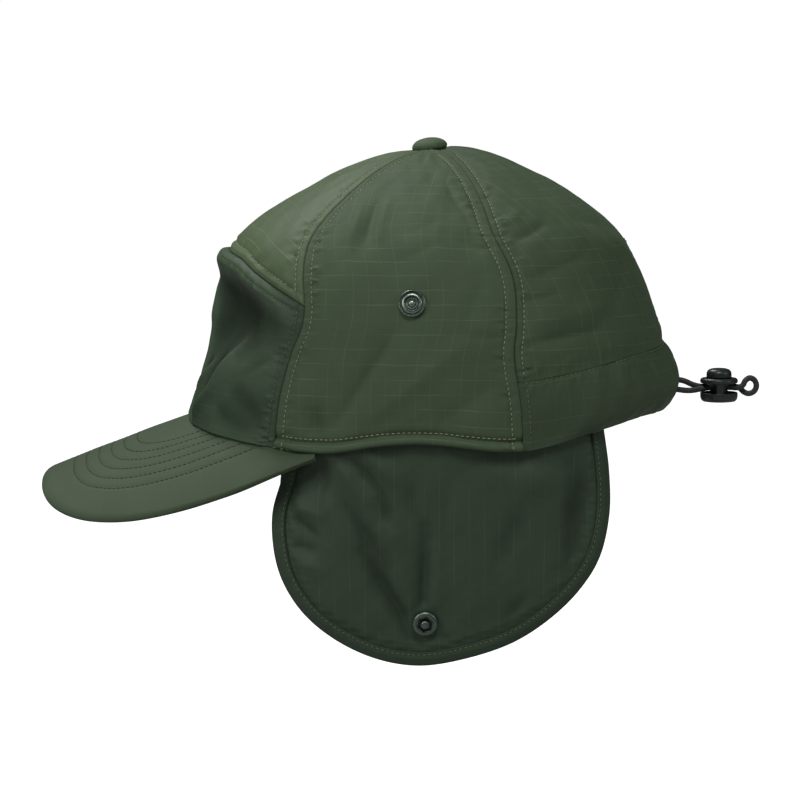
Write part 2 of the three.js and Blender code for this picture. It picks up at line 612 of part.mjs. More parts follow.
function earflap() {
  const edge = flapEdge(FLAP_SPOKES);
  const half = FLAP_SPOKES / 2;
  const steps = [0.35 + BINDING_WALL, BINDING_WIDTH + 0.5, BINDING_WIDTH + 2.5];
  const spine = (k) => ({
    x: mix((edge[0].x + edge[FLAP_SPOKES].x) / 2, FLAP_SPINE_END.x, k / half),
    z: mix(edge[0].z, FLAP_SPINE_END.z, k / half),
  });
  const plan = (j, step) => {
    const at = edge[j];
    if (step < steps.length) return { x: at.x + at.inX * steps[step], z: at.z + at.inZ * steps[step] };
    const rootStep = steps[steps.length - 1];
    const root = { x: at.x + at.inX * rootStep, z: at.z + at.inZ * rootStep };
    const end = spine(Math.min(j, FLAP_SPOKES - j));
    const t = (step - steps.length + 1) / 2;
    return { x: mix(root.x, end.x, t), z: mix(root.z, end.z, t) };
  };
  const thick = (step) => (step < 2 ? FLAP_EDGE : FLAP_PADDING) / 2;
  const positions = [];
  const index = [];
  const rings = steps.length + 2;
  const vertex = (j, step, face) => {
    const mirroredSpine = step === rings - 1 && j > half ? FLAP_SPOKES - j : j;
    return face * (FLAP_SPOKES + 1) * rings + mirroredSpine * rings + step;
  };
  for (const face of [0, 1]) {
    for (let j = 0; j <= FLAP_SPOKES; j += 1) {
      for (let step = 0; step < rings; step += 1) {
        const at = plan(j, step);
        const p = flapPoint(at.x, at.z, face === 0 ? thick(step) : -thick(step));
        positions.push(p.x, p.y, p.z);
      }
    }
  }
  const triangle = (a, b, c) => {
    if (a !== b && b !== c && a !== c) index.push(a, b, c);
  };
  for (let j = 0; j < FLAP_SPOKES; j += 1) {
    for (let step = 0; step < rings - 1; step += 1) {
      for (const face of [0, 1]) {
        const corners = [
          vertex(j, step, face), vertex(j + 1, step, face),
          vertex(j + 1, step + 1, face), vertex(j, step + 1, face),
        ];
        if (face === 1) corners.reverse();
        triangle(corners[0], corners[1], corners[2]);
        triangle(corners[0], corners[2], corners[3]);
      }
    }
    triangle(vertex(j + 1, 0, 0), vertex(j, 0, 0), vertex(j, 0, 1));
    triangle(vertex(j + 1, 0, 0), vertex(j, 0, 1), vertex(j + 1, 0, 1));
  }
  for (const [j, turn] of [[0, false], [FLAP_SPOKES, true]]) {
    for (let step = 0; step < rings - 1; step += 1) {
      const corners = [vertex(j, step, 0), vertex(j, step + 1, 0), vertex(j, step + 1, 1), vertex(j, step, 1)];
      if (turn) corners.reverse();
      triangle(corners[0], corners[1], corners[2]);
      triangle(corners[0], corners[2], corners[3]);
    }
  }
  return closedGeometry(positions, index);
}

// Folded cloth round the flap's edge: a C-shaped section swept along the outline.
function flapBinding() {
  const slot = BINDING_SLOT / 2;
  const wall = slot + BINDING_WALL;
  const section = [
    [BINDING_WIDTH, slot], [BINDING_WIDTH, wall], [1.2, wall], [0, slot * 0.7], [0, -slot * 0.7], [1.2, -wall],
    [BINDING_WIDTH, -wall], [BINDING_WIDTH, -slot], [BINDING_WALL, -slot], [BINDING_WALL, slot],
  ];
  const edge = flapEdge(FLAP_SPOKES);
  const positions = [];
  const index = [];
  for (const at of edge) {
    for (const [into, offset] of section) {
      const p = flapPoint(at.x + at.inX * into, at.z + at.inZ * into, offset);
      positions.push(p.x, p.y, p.z);
    }
  }
  const sides = section.length;
  for (let j = 0; j < edge.length - 1; j += 1) {
    for (let i = 0; i < sides; i += 1) {
      const a = j * sides + i;
      const b = j * sides + (i + 1) % sides;
      index.push(a, b, b + sides, a, b + sides, a + sides);
    }
  }
  const outline = section.map(([x, y]) => new THREE.Vector2(x, y));
  const last = (edge.length - 1) * sides;
  for (const [a, b, c] of THREE.ShapeUtils.triangulateShape(outline, [])) {
    index.push(a, c, b, last + a, last + b, last + c);
  }
  return closedGeometry(positions, index);
}

// Turned snap half with its shank through the cloth and the disc behind it, axis along +Z.
function snap(profile, clothFront, clothBack) {
  const face = profile.map(({ r, h }) => [r, h + clothFront]);
  const back = -clothBack;
  const points = [
    ...face, [SNAP_SHANK_RADIUS, clothFront], [SNAP_SHANK_RADIUS, back], [SNAP_BACK_RADIUS, back],
    [SNAP_BACK_RADIUS - 0.4, back - SNAP_BACK_THICKNESS], [0, back - SNAP_BACK_THICKNESS],
  ].map(([r, h]) => new THREE.Vector2(r, h)).reverse();
  return new THREE.LatheGeometry(points, SNAP_SIDES).rotateX(Math.PI / 2);
}

// Turns a piece made along +Z to a direction and moves it to a place.
function aimed(geometry, direction, place) {
  const turn = new THREE.Quaternion().setFromUnitVectors(new THREE.Vector3(0, 0, 1), direction);
  return geometry.applyQuaternion(turn).translate(place.x, place.y, place.z);
}

function shankHole(direction, place) {
  const drillRadius = SNAP_SHANK_RADIUS + PIECE_GAP;
  const drill = new THREE.CylinderGeometry(drillRadius, drillRadius, 30, 16);
  return toSolid(aimed(drill.rotateX(Math.PI / 2), direction, place));
}

// Place and direction of the left side panel's surface at a given x and z.
function crownPlaceAt(x, z) {
  let angle = 90;
  let rise = 0.4;
  for (let i = 0; i < 60; i += 1) {
    const p = crownPoint(angle, rise);
    angle += (x - p.x) * 0.5;
    rise += (z - p.z) * 0.004;
  }
  return { place: crownPoint(angle, rise), direction: crownNormal(angle, rise) };
}

function turned(profile, sides) {
  const points = profile.map(([r, h]) => new THREE.Vector2(r, h));
  return toSolid(new THREE.LatheGeometry(points, sides).rotateX(Math.PI / 2));
}

// The cord comes straight through the lock, so its body is a cup and a flange on two pillars.
function cordLockBody() {
  const { bottom, floor, cupTop, flangeBottom, flangeTop, radius, cupBore, flangeBore } = LOCK;
  const cup = turned([
    [0, bottom], [5.6, bottom], [7.2, bottom + 0.8], [radius, bottom + 2.4], [radius, cupTop], [cupBore, cupTop],
    [cupBore, floor], [0, floor],
  ], LOCK_SIDES);
  const flange = turned([
    [flangeBore, flangeBottom], [radius - 0.4, flangeBottom], [radius + 0.1, flangeBottom + 0.6],
    [radius + 0.1, flangeTop - 0.8], [radius - 0.6, flangeTop], [flangeBore, flangeTop],
    [flangeBore, flangeBottom],
  ], LOCK_SIDES);
  const height = flangeBottom - cupTop;
  const depth = LOCK.pillarOuter - LOCK.pillarInner;
  const pillars = [-1, 1].map((side) => toSolid(
    new THREE.BoxGeometry(LOCK.pillarWidth, depth, height + 1)
      .translate(0, side * (LOCK.pillarInner + depth / 2), cupTop + height / 2),
  ));
  return toGeometry(cup.add(flange).add(pillars[0]).add(pillars[1])).translate(LOCK.x, 0, 0);
}

function cordLockButton() {
  const { radius, bottom, slotBottom, slotTop, slotWidth, headRadius, headBottom, top } = PLUNGER;
  const plunger = turned([
    [0, bottom], [radius, bottom], [radius, headBottom], [headRadius, headBottom],
    [headRadius, top - 1.9], [headRadius - 0.9, top - 0.8], [headRadius - 2.6, top - 0.2], [0, top],
  ], LOCK_SIDES);
  const slot = new THREE.BoxGeometry(4 * radius, slotWidth, slotTop - slotBottom)
    .translate(0, 0, (slotTop + slotBottom) / 2);
  return toGeometry(plunger.subtract(toSolid(slot))).translate(LOCK.x, 0, 0);
}

function drawcord() {
  const route = new THREE.CatmullRomCurve3(CORD_ROUTE.map((p) => new THREE.Vector3(...p)), false, 'centripetal');
  const section = new THREE.Shape();
  for (let i = 0; i < CORD_SIDES; i += 1) {
    const turn = (i + 0.5) / CORD_SIDES * Math.PI * 2;
    const x = Math.cos(turn) * CORD_DIAMETER / 2;
    const y = Math.sin(turn) * CORD_DIAMETER / 2;
    if (i === 0) section.moveTo(x, y);
    else section.lineTo(x, y);
  }
  section.closePath();
  return new THREE.ExtrudeGeometry(section, { steps: CORD_STEPS, extrudePath: route, curveSegments: 1 });
}

const cap = new THREE.Group();

function add(name, geometry, look) {
  const mesh = new THREE.Mesh(geometry, new THREE.MeshStandardMaterial(look));
  mesh.name = name;
  cap.add(mesh);
  return mesh;
}

add('front_panel_lower', frontPanelLower(), COLOURS.frontLower);
add('front_panel_upper', frontPanelUpper(), COLOURS.frontUpper);

const crownSnapSeat = crownPlaceAt(CROWN_SNAP_PLACE.x, CROWN_SNAP_PLACE.z);
const sideSolid = toSolid(sidePanel()).subtract(shankHole(crownSnapSeat.direction, crownSnapSeat.place));
const sideLeft = toGeometry(sideSolid);
add('side_panel_left', sideLeft, COLOURS.side);
add('side_panel_right', mirrored(sideLeft), COLOURS.side);

const backLeft = backPanel();
add('back_panel_left', backLeft, COLOURS.back);
add('back_panel_right', mirrored(backLeft), COLOURS.back);
add('drawcord_channel', drawcordChannel(), COLOURS.back);

const button = add('crown_button', crownButton().rotateX(Math.PI / 2), COLOURS.side);
button.position.set(CROWN_CENTRE_X, 0, BUTTON_SEAT);
button.rotation.y = radians(-BUTTON_TILT);

add('peak', peak(), COLOURS.peak);

const flapSnapSeat = {
  place: flapPoint(FLAP_SNAP_PLACE.x, FLAP_SNAP_PLACE.z, 0),
  direction: flapPoint(FLAP_SNAP_PLACE.x, FLAP_SNAP_PLACE.z, 1)
    .sub(flapPoint(FLAP_SNAP_PLACE.x, FLAP_SNAP_PLACE.z, 0)),
};
const flapSolid = toSolid(earflap()).subtract(shankHole(flapSnapSeat.direction, flapSnapSeat.place));
const flapLeft = toGeometry(flapSolid);
add('earflap_left', flapLeft, COLOURS.flap);
add('earflap_right', mirrored(flapLeft), COLOURS.flap);

const bindingLeft = flapBinding();
add('flap_binding_left', bindingLeft, COLOURS.flap);
add('flap_binding_right', mirrored(bindingLeft), COLOURS.flap);

const crownSnap = aimed(
  snap(CROWN_SNAP_PROFILE, CROWN_SNAP_SEAT, CROWN_GRIP + CROWN_SNAP_SEAT),
  crownSnapSeat.direction,
  crownSnapSeat.place,
);
add('crown_snap_left', crownSnap, COLOURS.metal);
add('crown_snap_right', mirrored(crownSnap), COLOURS.metal);

const flapSnap = aimed(
  snap(FLAP_SNAP_PROFILE, FLAP_PADDING / 2 + PIECE_GAP, FLAP_PADDING / 2 + PIECE_GAP),
  flapSnapSeat.direction,
  flapSnapSeat.place,
);
add('flap_snap_left', flapSnap, COLOURS.metal);
add('flap_snap_right', mirrored(flapSnap), COLOURS.metal);

add('drawcord', drawcord(), COLOURS.cord);
add('cord_lock_body', cordLockBody(), COLOURS.plastic);
add('cord_lock_button', cordLockButton(), COLOURS.plastic);

export default cap;
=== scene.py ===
# %% [markdown]
# # An earflap cap, dressed on its fixed frame
# The cap is padded cloth: six crown panels, a curved peak, two flaps and a hem tunnel with a cord.
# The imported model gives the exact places. Each soft piece is built again here with its seams, folds
# and stitches, and rides on the same body as the solid it stands for.

# %% Load the frame
import math

import bmesh
import bpy
import numpy as np
from mathutils import Matrix, Vector


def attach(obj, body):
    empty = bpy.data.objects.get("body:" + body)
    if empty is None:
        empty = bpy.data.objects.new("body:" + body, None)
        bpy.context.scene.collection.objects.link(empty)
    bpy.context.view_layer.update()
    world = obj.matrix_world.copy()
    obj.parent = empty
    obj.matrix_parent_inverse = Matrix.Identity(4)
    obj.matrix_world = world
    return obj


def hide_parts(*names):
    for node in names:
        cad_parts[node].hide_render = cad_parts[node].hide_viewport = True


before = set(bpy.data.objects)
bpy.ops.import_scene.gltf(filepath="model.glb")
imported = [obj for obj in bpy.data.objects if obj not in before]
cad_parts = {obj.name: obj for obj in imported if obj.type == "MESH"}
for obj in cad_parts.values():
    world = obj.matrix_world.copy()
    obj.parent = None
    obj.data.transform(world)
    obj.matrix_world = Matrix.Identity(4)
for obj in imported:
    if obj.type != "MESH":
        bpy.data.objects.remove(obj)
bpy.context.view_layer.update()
scene = bpy.context.scene
MM = 0.001

# %% [markdown]
# ## The camera
# The photograph was taken from the wearer's left, from a little above, with a long lens. The
# distance and the lens were found from how the two ends of the cap line up, so they stay fixed.

# %% Camera
CAMERA_ELEVATION = math.radians(6)
CAMERA_DISTANCE = 1800 * MM
CAMERA_AIM = Vector((-13.8, 0, 11.4)) * MM
CAMERA_LENS = 36 * 1800 / (0.43 * 800)

camera_data = bpy.data.cameras.new("camera")
camera_data.lens = CAMERA_LENS
camera_data.sensor_width = 36
camera = bpy.data.objects.new("camera", camera_data)
scene.collection.objects.link(camera)
back_off = Vector((0, -math.cos(CAMERA_ELEVATION), math.sin(CAMERA_ELEVATION)))
camera.location = CAMERA_AIM + back_off * CAMERA_DISTANCE
camera.rotation_euler = (math.pi / 2 - CAMERA_ELEVATION, 0, 0)
scene.camera = camera
print("lens", round(CAMERA_LENS, 1), "mm")

# %% [markdown]
# ## Tables and smooth curves
# A cap's crown has no flat faces to measure, so it is kept as a table of rings from the rim to the
# apex. Reading a table smoothly between its rows gives every point of the cloth, and the same
# tables shaped the solids, so the dressed pieces lie where the solids are.

# %% Smooth reading of tables


def columns(names, rows):
    """A table as one array for each named column."""
    return {name: np.array(values, dtype=float) for name, values in zip(names, zip(*rows))}


def eased(table, name, at):
    """Smooth value of one column of a table at any place between its rows."""
    x = table["at"]
    y = table[name]
    here = np.clip(np.asarray(at, dtype=float), x[0], x[-1])
    row = np.clip(np.searchsorted(x, here, side="left") - 1, 0, len(x) - 2)
    before = np.maximum(np.arange(len(x)) - 1, 0)
    after = np.minimum(np.arange(len(x)) + 1, len(x) - 1)
    slope = (y[after] - y[before]) / (x[after] - x[before])
    span = x[row + 1] - x[row]
    s = (here - x[row]) / span
    start = y[row] * (2 * s**3 - 3 * s**2 + 1) + slope[row] * span * (s**3 - 2 * s**2 + s)
    end = y[row + 1] * (3 * s**2 - 2 * s**3) + slope[row + 1] * span * (s**3 - s**2)
    return start + end


def mix(a, b, t):
    """From a towards b, by a part t of the way."""
    return a + (b - a) * t


def smooth(t):
    """An even step from 0 to 1, flat at both ends."""
    t = np.clip(t, 0, 1)
    return t * t * (3 - 2 * t)


def unit(vectors):
    """The same directions, each with a length of one."""
    return vectors / np.linalg.norm(vectors, axis=-1, keepdims=True)


def run_along(line):
    """How far along a line each of its points is."""
    return np.concatenate([[0], np.cumsum(np.linalg.norm(np.diff(line, axis=0), axis=-1))])


def bump(distance, width):
    """A soft bell of height one."""
    return np.exp(-((distance / width) ** 2))


def crease(distance, width, roundness):
    """Cross-section of a fold in cloth, of height one: a tight crest with long soft sides."""
    tight = roundness * width
    return np.exp(-(np.hypot(distance, tight) - tight) / (0.64 * width))


def laid_folds(x, y, folds, scale, roundness):
    """Height of folds laid from one place to another, each fullest halfway and shallower at its ends."""
    height = np.zeros(np.broadcast(x, y).shape)
    for x0, y0, x1, y1, half_width, peak in folds:
        dx = x1 - x0
        dy = y1 - y0
        along = np.clip(((x - x0) * dx + (y - y0) * dy) / (dx * dx + dy * dy), 0, 1)
        away = np.hypot(x - x0 - along * dx, y - y0 - along * dy)
        taper = 0.5 + 0.6 * np.sin(np.pi * along) ** 0.8
        height += scale * peak * taper * crease(away, half_width, roundness)
    return height


def unsided(angle):
    """Angle from the front without its side: 200 degrees is 160 on the other side."""
    return 180 - np.abs(180 - np.abs(angle))


def ripple(x, y, scale, seed):
    """Gentle unevenness between about -1 and 1, the same on every run."""
    x = x / scale
    y = y / scale
    waves = (
        np.sin(1.7 * x + 0.6 * y + seed)
        + np.sin(-0.8 * x + 1.9 * y + 2.1 * seed)
        + np.sin(2.9 * x - 2.3 * y + 3.7 * seed)
        + 0.7 * np.sin(4.3 * x + 3.1 * y + 5.3 * seed)
    )
    return waves / 3.0


# %% [markdown]
# ## The crown's form
# The head form under the cap is never seen, but it fills the crown evenly. Each ring is a rounded
# box, a superellipse, because a padded crown is fuller at its four corners than an oval.

# %% Crown rings, rim and seams, in millimetres and degrees
CROWN_CENTRE_X = -1.0
CROWN_WALL = 3.6
CROWN_TOP = 0.985
RIM_RISE_REACH = 0.24
RIM_SHELF_RISE = 0.12
RINGS = columns(
    ("at", "front_x", "front_z", "side_y", "side_z", "back_x", "back_z", "square"),
    [
        (0.00, -104.5, 6.5, 83.0, 0.7, 101.0, 9.0, 2.35),
        (0.12, -100.0, 20.5, 85.0, 19.0, 104.8, 22.0, 2.35),
        (0.24, -95.2, 37.5, 85.5, 37.5, 100.0, 37.5, 2.3),
        (0.36, -92.9, 53.5, 84.0, 55.0, 94.8, 53.5, 2.25),
        (0.48, -91.2, 71.0, 79.5, 71.0, 87.8, 70.8, 2.2),
        (0.58, -83.4, 82.3, 72.5, 83.5, 80.7, 84.0, 2.15),
        (0.68, -69.4, 93.2, 62.0, 95.0, 69.4, 94.5, 2.1),
        (0.78, -52.6, 103.2, 48.5, 105.3, 53.2, 105.1, 2.05),
        (0.86, -37.8, 110.8, 35.0, 112.5, 38.2, 112.9, 2.0),
        (0.93, -21.9, 116.5, 20.0, 117.9, 22.1, 119.2, 2.0),
        (0.97, -11.0, 119.0, 9.5, 120.2, 9.5, 121.3, 2.0),
        (1.00, -1.0, 120.4, 0.0, 120.4, -1.0, 120.4, 2.0),
    ],
)
RIM_EDGE = columns(
    ("at", "z"),
    [(0, 6.5), (28, 3.0), (47, -0.1), (65, -2.7), (80, 1.2), (90, 1.5), (111, -1.9), (128, 3.9),
     (150, 8.9), (180, 7.2)],
)
SEAM_ANGLES = columns(
    ("at", "front", "back"),
    [(0.0, 52.8, 111.5), (0.13, 52.3, 110.0), (0.24, 53.4, 109.5), (0.34, 56.0, 111.0), (0.48, 54.9, 112.0),
     (0.63, 51.4, 109.2), (0.8, 50.2, 111.0), (1.0, 50.0, 114.0)],
)
CROSS_SEAM = columns(
    ("at", "rise"), [(0, 0.54), (26, 0.517), (37, 0.476), (51, 0.411), (60, 0.36)]
)
CHANNEL_TOP = columns(
    ("at", "rise"), [(105, 0.167), (119, 0.187), (130, 0.206), (146, 0.232), (180, 0.245)]
)


def crown_point(angle, rise):
    """Point of the crown at an angle from the front and a rise from rim to apex."""
    angle, rise = np.broadcast_arrays(np.asarray(angle, dtype=float), np.asarray(rise, dtype=float))
    c = np.cos(np.radians(angle))
    s = np.sin(np.radians(angle))
    square = eased(RINGS, "square", rise)
    stretch = (np.abs(c) ** square + np.abs(s) ** square) ** (-1 / square)
    in_front = c >= 0
    reach = np.where(in_front, eased(RINGS, "front_x", rise), eased(RINGS, "back_x", rise)) - CROWN_CENTRE_X
    end_z = np.where(in_front, eased(RINGS, "front_z", rise), eased(RINGS, "back_z", rise))
    rim_end_z = np.where(in_front, RINGS["front_z"][0], RINGS["back_z"][0])
    ring_z = mix(eased(RINGS, "side_z", rise), end_z, c * c)
    rim_lift = eased(RIM_EDGE, "z", unsided(angle)) - mix(RINGS["side_z"][0], rim_end_z, c * c)
    x = CROWN_CENTRE_X + reach * stretch * np.abs(c)
    y = -eased(RINGS, "side_y", rise) * stretch * s
    z = ring_z + rim_lift * np.maximum(0, 1 - rise / RIM_RISE_REACH) ** 1.5
    return np.stack([x, y, z], axis=-1)


def crown_normal(angle, rise):
    """Direction straight out of the crown."""
    step = 0.004
    low = np.minimum(rise, 1 - 2 * step)
    across = crown_point(angle + 0.5, low) - crown_point(angle - 0.5, low)
    up = crown_point(angle, low + step) - crown_point(angle, np.maximum(0, low - step))
    return unit(np.cross(across, up))


def seam_front(rise):
    """The left front seam's angle at a rise. The far ones are on the right."""
    return eased(SEAM_ANGLES, "front", rise)


def seam_front_far(rise):
    return -seam_front(rise)


def seam_back(rise):
    return eased(SEAM_ANGLES, "back", rise)


def seam_back_far(rise):
    return 360 - seam_back(rise)


def seam_middle(rise):
    return 180 + 0.0 * rise


def cross_seam(angle):
    """Rise of the seam between the two front panels."""
    return eased(CROSS_SEAM, "rise", unsided(angle))


def channel_top(angle):
    """Rise of the hem tunnel's upper edge."""
    return eased(CHANNEL_TOP, "rise", unsided(angle))


def at_rim(angle):
    return 0.0 * angle


def at_apex(angle):
    return CROWN_TOP + 0.0 * angle


apex = crown_point(0, 1.0)
print("crown apex", apex.round(1))

# %% [markdown]
# ## Folds, seams and puckers
# Padded cloth never lies flat. A soft fold is a long bell laid between two places, a seam pulls the
# padding down to a line, and the stitch rows beside it leave small puckers that die out in the
# field. Each of these is a height added along the crown's normal, so they can simply be summed.

# %% Relief of the crown
FOLD_MM_PER_RADIAN = 92
FOLD_MM_PER_RISE = 165
CROWN_FOLDS = [
    # from angle, from rise, to angle, to rise, half width, height
    (6, 0.47, 34, 0.43, 6, 0.6),
    (32, 0.26, 28, 0.13, 4.2, 2.9),
    (28, 0.13, 19, 0.03, 4.0, 3.3),
    (22, 0.21, 18, 0.13, 2.8, -2.8),
    (18, 0.13, 13, 0.05, 3.0, -1.3),
    (13.5, 0.20, 10, 0.15, 2.2, -2.0),
    (17.5, 0.19, 13, 0.12, 2.2, 1.4),
    (12, 0.13, 14, 0.03, 6, 0.9),
    (29, 0.08, 42, 0.03, 6, -1.1),
    (36, 0.13, 52, 0.05, 9, -1.5),
    (50, 0.24, 40, 0.18, 3.5, -0.6),
    (80, 0.30, 67.5, 0.07, 5, -1.6),
    (99, 0.29, 77, 0.09, 6, 1.1),
    (59, 0.64, 64, 0.34, 4, -0.8),
    (66, 0.62, 69, 0.33, 5, 0.6),
    (68.5, 0.73, 71, 0.59, 3.6, -1.3),
    (73, 0.72, 75, 0.58, 3.6, 0.7),
    (64, 0.70, 67, 0.58, 4, 0.9),
    (97.5, 0.80, 100.5, 0.71, 4, -1.0),
    (99, 0.60, 106, 0.55, 3.5, -0.9),
    (101, 0.72, 103, 0.60, 2.4, -0.4),
    (94, 0.70, 91, 0.56, 4, 0.3),
    (85, 0.62, 88, 0.56, 14, 0.8),
    (61.5, 0.12, 64, 0.04, 5, -1.8),
    (57, 0.20, 60, 0.06, 3, 0.5),
    (109, 0.29, 98, 0.30, 3, -0.6),
    (104, 0.17, 92, 0.06, 5, -0.8),
    (104, 0.48, 99, 0.34, 4, -0.5),
    (114, 0.28, 132, 0.31, 3.5, -1.2),
    (115, 0.34, 140, 0.38, 5, 0.8),
    (113, 0.40, 124, 0.42, 2.5, -0.8),
    (113, 0.46, 136, 0.53, 3.5, -1.0),
    (112, 0.58, 128, 0.64, 3, -1.0),
    (112, 0.64, 122, 0.69, 4, 0.7),
    (130, 0.30, 158, 0.52, 8, -0.8),
    (140, 0.66, 170, 0.60, 7, -0.6),
    (150, 0.34, 172, 0.30, 6, -0.6),
    (114, 0.22, 128, 0.25, 3, -0.5),
]
CROWN_FOLD_SCALE = 1.2
CROWN_FOLD_ROUNDNESS = 0.35
PUFF_REACH = 13.0
SEAM_SINK = 1.2


def round_the_crown(angle):
    """Millimetres round the crown from the middle of the front."""
    return np.radians(angle) * FOLD_MM_PER_RADIAN


CROWN_FOLDS_MM = [
    (round_the_crown(from_angle), from_rise * FOLD_MM_PER_RISE,
     round_the_crown(to_angle), to_rise * FOLD_MM_PER_RISE, half_width, peak)
    for from_angle, from_rise, to_angle, to_rise, half_width, peak in CROWN_FOLDS
]


def fold_height(angle, rise):
    """Height of all the laid folds at a place on the crown."""
    return laid_folds(
        round_the_crown(unsided(angle)), rise * FOLD_MM_PER_RISE,
        CROWN_FOLDS_MM, CROWN_FOLD_SCALE, CROWN_FOLD_ROUNDNESS,
    )


def seam_relief(distance, along, seed, plump, row_at, lively):
    """Height beside a seam: sunk line, strip, stitch row, then puckers in clusters and the field."""
    sink = -SEAM_SINK * (1 - smooth(distance / PUFF_REACH))
    strip = plump * bump(distance - row_at / 2, 1.3)
    groove = -0.55 * bump(distance, 0.3)
    row = -0.5 * bump(distance - row_at, 0.6)
    cluster = lively * (0.25 + smooth(0.5 + 1.1 * ripple(along, 0.0, 9.0, seed + 5)))
    pucker = 0.62 * bump(distance - row_at - 1.8, 2.8) * ripple(along, distance * 0.35, 1.5, seed)
    bead = 0.3 * bump(distance - row_at / 2, 1.6) * ripple(along, distance * 0.3, 1.3, seed + 2)
    return sink + strip + groove + row + cluster * (pucker + bead)


# %% [markdown]
# ## One function for every panel
# A panel is the cloth between two upright seams and between a lower and an upper edge. Each sewn edge
# has how plump its strip is, or None for no strip, how far it lies under its neighbour, and how far
# the stitch row is from the seam. The whole panel is one grid of angles and rises, worked out as
# arrays. The steps are short beside the seams, where the relief is steep, and longer in the field.

# %% Panel surface
FIELD_STEP = 1.05
EDGE_STEP = 0.45
EDGE_REACH = 9.0
PANEL_GAP = 0.04


def steps(length):
    """Places from 0 to 1 over a length, close together towards its ends."""
    places = [0.0]
    while places[-1] < length / 2:
        near = min(1.0, places[-1] / EDGE_REACH)
        places.append(places[-1] + mix(EDGE_STEP, FIELD_STEP, near))
    half = np.array(places) / places[-1] * 0.5
    return np.concatenate([half, 1 - half[::-1][1:]])


def plain_relief(distance, along, seed):
    """Height beside a seam without a strip: the padding just rounds down to it, with puckers."""
    sink = -1.3 * (1 - smooth(distance / 8))
    return sink + 0.3 * bump(distance - 4, 3.0) * ripple(along, distance * 0.35, 1.9, seed)


def panel_relief(panel, angle, rise):
    """Height of a panel's finished surface above the crown's form, and the place on that form."""
    here = crown_point(angle, rise)
    height = np.zeros(here.shape[:-1])
    nearest = np.full(here.shape[:-1], 1e3)
    along = rise * FOLD_MM_PER_RISE
    round_way = round_the_crown(angle)
    lively = 1 - smooth((rise - 0.78) / 0.14)
    for number, edge in enumerate(panel["sewn"]):
        if edge in ("from", "to"):
            there = crown_point(panel[edge](rise), rise)
            run = along
        else:
            there = crown_point(angle, panel[edge](angle))
            run = round_way
        gap = np.linalg.norm(here - there, axis=-1)
        seed = 1.7 * number + panel["seed"]
        plump, under, row_at = panel["sewn"][edge]
        if plump is None:
            beside = plain_relief(gap, run, seed)
        else:
            beside = seam_relief(gap, run, seed, plump, row_at, lively)
        height = np.minimum(height, beside - under * (1 - smooth(gap / 5)))
        nearest = np.minimum(nearest, gap)
    field = smooth(nearest / PUFF_REACH)
    height = height + field * fold_height(angle, rise)
    height = height + 0.35 * smooth(nearest / 9) * ripple(round_way, along, 12.0, panel["seed"])
    height = height + 0.07 * smooth(nearest / 7) * ripple(along, round_way, 4.7, panel["seed"] + 4)
    if "extra" in panel:
        height = height + panel["extra"](angle, rise, here)
    return height, here


def panel_surface(panel, angle, rise):
    """Finished outer surface of a panel at arrays of angle and rise."""
    height, here = panel_relief(panel, angle, rise)
    return here + crown_normal(angle, rise) * height[..., None]


def panel_grid(panel):
    """Angles and rises of a panel's grid of points."""
    middle_rise = 0.3
    left = crown_point(panel["from"](middle_rise), middle_rise)
    width = 0
    for part in np.linspace(0, 1, 21)[1:]:
        there = crown_point(mix(panel["from"](middle_rise), panel["to"](middle_rise), part), middle_rise)
        width += np.linalg.norm(there - left)
        left = there
    u = steps(width)
    mid_angle = (panel["from"](0.2) + panel["to"](0.2)) / 2
    tall = (panel["top"](mid_angle) - panel["bottom"](mid_angle)) * FOLD_MM_PER_RISE
    v = steps(float(tall))
    u, v = np.meshgrid(u, v)
    rise = mix(panel["bottom"](mid_angle), panel["top"](mid_angle), v)
    for _ in range(6):
        angle = mix(panel["from"](rise), panel["to"](rise), u)
        rise = mix(panel["bottom"](angle), panel["top"](angle), v)
    per_degree = np.linalg.norm(crown_point(angle, rise) - crown_point(angle + 1, rise), axis=-1)
    angle = angle + mix(1, -1, u) * PANEL_GAP / 2 / np.maximum(per_degree, 0.05)
    return angle, rise


def panel_cloth(panel, angle, rise):
    """Cloth coordinates in millimetres: round the panel from its middle, and up from the rim."""
    base = crown_point(angle, rise)
    run = np.concatenate(
        [np.zeros((len(base), 1)), np.cumsum(np.linalg.norm(np.diff(base, axis=1), axis=-1), axis=1)],
        axis=1,
    )
    run -= run[:, [run.shape[1] // 2]]
    mid_angle = float((panel["from"](0.3) + panel["to"](0.3)) / 2)
    rungs = np.linspace(0, 1, 201)
    climb = run_along(crown_point(mid_angle, rungs))
    up = np.interp(rise, rungs, climb)
    if panel.get("grain_along_cross"):
        up = up - np.interp(cross_seam(angle), rungs, climb)
    return np.stack([run, up], axis=-1)


# %% [markdown]
# ## From a grid to a closed piece of cloth
# An outer grid and an inner grid, joined round the edge, make a closed wall. The inner faces get
# their own material, the lining, and the cloth coordinates are kept as a UV map in millimetres, so
# that the weave follows the panel and doesn't swim when the cap turns.

# %% Mesh from grids
TO_OTHER_SIDE = np.array([1, -1, 1])


def painted_shade_of(height, from_depth, full_depth):
    """How dark a sunk place is painted, as shade: from 0 on the open surface towards 1 where it sinks deep.
    """
    return 1 - np.exp(-np.maximum(0, -height - from_depth) / full_depth)


